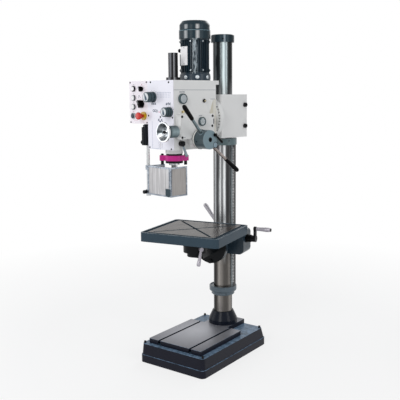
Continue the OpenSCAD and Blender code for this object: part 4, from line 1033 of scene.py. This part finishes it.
def addMotorTrim():
    p = motorPlan
    y = headPlan["motorY"] - headPlan["motorR"] - 1.5
    plate = plateShape(roundedOutline(p["plateW"], p["plateH"], 3), (0, y, p["plateZ"]), front, 0.9)
    makePiece("rating_plate", plate, whitePlastic)
    ends = [(0, y, p["plateZ"] + h * p["plateH"]) for h in (-0.43, 0.43)]
    rivets = [stackedRings([(2.6, 0.8), (2.6, 1.4), (1.4, 2.1)], end, front, 14) for end in ends]
    makePiece("plate_rivets", rivets, blackSteel, 50)
    # long bolts that hold the end shields, a row near each end of the fins
    spots = [(z, a) for z in p["lugZ"] for a in p["lugAngles"]]
    makePiece("motor_lugs", motorRounds([(8.5, 72), (8.5, 84.4), (7.2, 85.4)], spots, 20), motorPaint,
              40)
    makePiece("motor_bolts", motorRounds([(4.6, 85.2), (4.6, 88.2), (3.8, 88.8)], spots, 6), bezelSteel)
    # bright plugs in the windows of the bell
    spots = [(p["plugZ"], a) for a in p["plugAngles"]]
    makePiece("bell_plugs", motorRounds([(10.5, 83), (10.5, 88.5), (9.5, 89.3)], spots, 20), plugSteel,
              40)
    a = p["eyeAngle"]
    eye = [(4.5, -6), (4.5, 3), (9, 5), (11, 9), (11, 13), (8, 18), (3, 19.5)]
    makePiece("eye_bolt", stackedRings(eye, roundMotor(p["eyeR"], a, p["eyeZ"]), outward(a), 24), blackSteel,
              50)
    a = p["boxAngle"]
    middle, side = np.array(roundMotor(p["boxR"], a, p["boxZ"])), np.array(outward(a + 90))
    halfW, halfH = p["boxHalf"]
    caps = [stackedRings([(4, -0.5), (4, 2), (3, 2.8)], middle + side * s * halfW + np.array([0, 0, h * halfH]),
                         outward(a), 14) for s in (-1, 1) for h in (-1, 1)]
    makePiece("box_screws", caps, blackSteel, 50)
    gland = [(12, 0), (12, 6), (9, 6.5), (9, 18), (10.5, 18.5), (10.5, 26), (5, 27)]
    makePiece("cable_gland", stackedRings(gland, roundMotor(p["glandR"], a, p["glandZ"]), below, 20),
              blackPlastic, 35)
    print("motor dressed")


# name, height, plan angle and radius of the face that each screw is in
setScrewPlan = [("cap_set_screw", 1884, -54, 69.6), ("ring_set_screw", 1288, -30, 85.9)]


# small screws in the column's cap and in the upper ring
def addSetScrews():
    for name, z, a, r in setScrewPlan:
        steps = [(3.9, r - 6), (3.9, r - 0.2), (2.2, r - 0.3), (2.1, r - 4)]
        makePiece(name, stackedRings(steps, (0, 0, z), outward(a), 14), blackSteel, 40, "frame",
                  0.0)
    print("set screws fitted")


dressNodes()
addScrews()
addPlateMarks()
addControlTrim()
addCaps()
addSwivelScale()
addGuardTrim()
addFeedDetail()
addSideTrim()
addMotorTrim()
addSetScrews()

# the camera of the photograph, fitted to the corners of the base, the table and the head
cameraPlan = dict(at=(2.2665, -3.3474, 1.5522), azimuth=36.1, down=8.9, roll=-0.4, focal=662.8, frameWidth=400)


# it looks along (-sin az cos el, cos az cos el, -sin el), and rolls about that line
def addCamera():
    p = cameraPlan
    az, el, roll = (math.radians(p[k]) for k in ("azimuth", "down", "roll"))
    ahead = Vector((-math.sin(az) * math.cos(el), math.cos(az) * math.cos(el), -math.sin(el)))
    side = Vector((math.cos(az), math.sin(az), 0))
    side = side * math.cos(roll) + side.cross(ahead) * math.sin(roll)
    camera = bpy.data.cameras.new("photo view")
    camera.sensor_width = 36
    camera.lens = p["focal"] / p["frameWidth"] * camera.sensor_width
    holder = bpy.data.objects.new("photo view", camera)
    holder.matrix_world = Matrix((side, side.cross(ahead), -ahead)).transposed().to_4x4()
    holder.location = p["at"]
    bpy.context.scene.collection.objects.link(holder)
    bpy.context.scene.camera = holder


lightPlan = dict(
    key=dict(at=(0.6, -4.6, 3.2), size=(1.6, 3.0), power=92, colour=(1, 0.995, 0.985)),
    fill=dict(at=(-3.8, -2.4, 2.2), size=(2.2, 2.8), power=34, colour=(0.97, 0.98, 1)),
    side=dict(at=(4.6, -0.4, 2.4), size=(1.4, 3.0), power=46, colour=(1, 1, 1)),
    back=dict(at=(-0.6, 3.8, 3.4), size=(2.4, 2.4), power=40, colour=(1, 1, 1)))
lightAim = Vector((0, -0.2, 1.0))


def addLights():
    for name, p in lightPlan.items():
        lamp = bpy.data.lights.new(name + " softbox", "AREA")
        lamp.shape = "RECTANGLE"
        lamp.size, lamp.size_y = p["size"]
        lamp.energy = p["power"]
        lamp.color = p["colour"]
        holder = bpy.data.objects.new(name + " softbox", lamp)
        holder.location = p["at"]
        holder.rotation_euler = (lightAim - Vector(p["at"])).to_track_quat("-Z", "Y").to_euler()
        bpy.context.scene.collection.objects.link(holder)


# 1 for rays from the camera, off glossy faces and through clear ones, and 0 for the rest
def seenRays(tree):
    path = tree.nodes.new("ShaderNodeLightPath")
    kinds = ("Is Camera Ray", "Is Glossy Ray", "Is Transmission Ray")
    camera, glossy, through = (Value(tree, path.outputs[kind]) for kind in kinds)
    return (camera + glossy + through).kept()


worldPlan = dict(softTone=(0.93, 0.96, 1.0, 1), soft=0.42, seenTone=(1, 1, 1, 1), seen=1.0)


# soft light for the shading, and plain white for what the camera, metal and glass see behind the machine
def addWorld():
    p = worldPlan
    world = bpy.data.worlds.new("studio")
    bpy.context.scene.world = world
    world.use_nodes = True
    tree = world.node_tree
    tree.nodes.clear()
    kinds = ("OutputWorld", "Background", "Background", "MixShader")
    out, soft, seen, mix = (tree.nodes.new("ShaderNode" + kind) for kind in kinds)
    plug(tree, soft.inputs["Color"], p["softTone"])
    plug(tree, soft.inputs["Strength"], p["soft"])
    plug(tree, seen.inputs["Color"], p["seenTone"])
    plug(tree, seen.inputs["Strength"], p["seen"])
    plug(tree, mix.inputs[0], seenRays(tree))
    tree.links.new(soft.outputs[0], mix.inputs[1])
    tree.links.new(seen.outputs[0], mix.inputs[2])
    tree.links.new(mix.outputs[0], out.inputs[0])


floorPlan = dict(rings=(0.02, 1.2, 2.4, 4.8, 9.6, 30), sides=64, seen=0.72, fadeFrom=1.2, fadeTo=3.2)


# a round floor, ring radius by angle; it turns white with the distance r:
# seen + (1 - seen) (r - fadeFrom) / (fadeTo - fadeFrom)
def addFloor():
    p = floorPlan
    rings, t = np.array(p["rings"])[:, None], np.linspace(0, 2 * np.pi, p["sides"], endpoint=False)
    points = np.stack([rings * np.cos(t), rings * np.sin(t), np.zeros((len(rings), p["sides"]))], axis=-1)
    faces = [f[::-1] for f in gridFaces(len(rings), p["sides"])] + [list(range(p["sides"]))]
    mesh = bpy.data.meshes.new("studio_floor")
    mesh.from_pydata(points.reshape(-1, 3).tolist(), [], faces)
    mesh.update()
    floor = bpy.data.objects.new("studio_floor", mesh)
    bpy.context.scene.collection.objects.link(floor)
    f = Finish("studio floor", Base_Color=grey(0.88), Roughness=0.9)
    x, y, z = f.parts(f.node("ShaderNodeTexCoord", {}, {}, "Object"))
    fade = ((reach(x, y) - p["fadeFrom"]) / (p["fadeTo"] - p["fadeFrom"])).kept()
    seen = fade * (1 - p["seen"]) + p["seen"]
    glow = f.node("ShaderNodeEmission", {}, {"Color": grey(1), "Strength": 1.0})
    plain = Value(f.tree, f.shader.outputs[0])
    mixed = f.node("ShaderNodeMixShader", {}, {0: seenRays(f.tree) * seen, 1: plain, 2: glow})
    plug(f.tree, f.tree.nodes["Material Output"].inputs["Surface"], mixed)
    mesh.materials.append(f.material)


addCamera()
addLights()
addWorld()
addFloor()
bpy.context.scene.view_settings.view_transform = "Standard"
print("camera, lights and floor set")
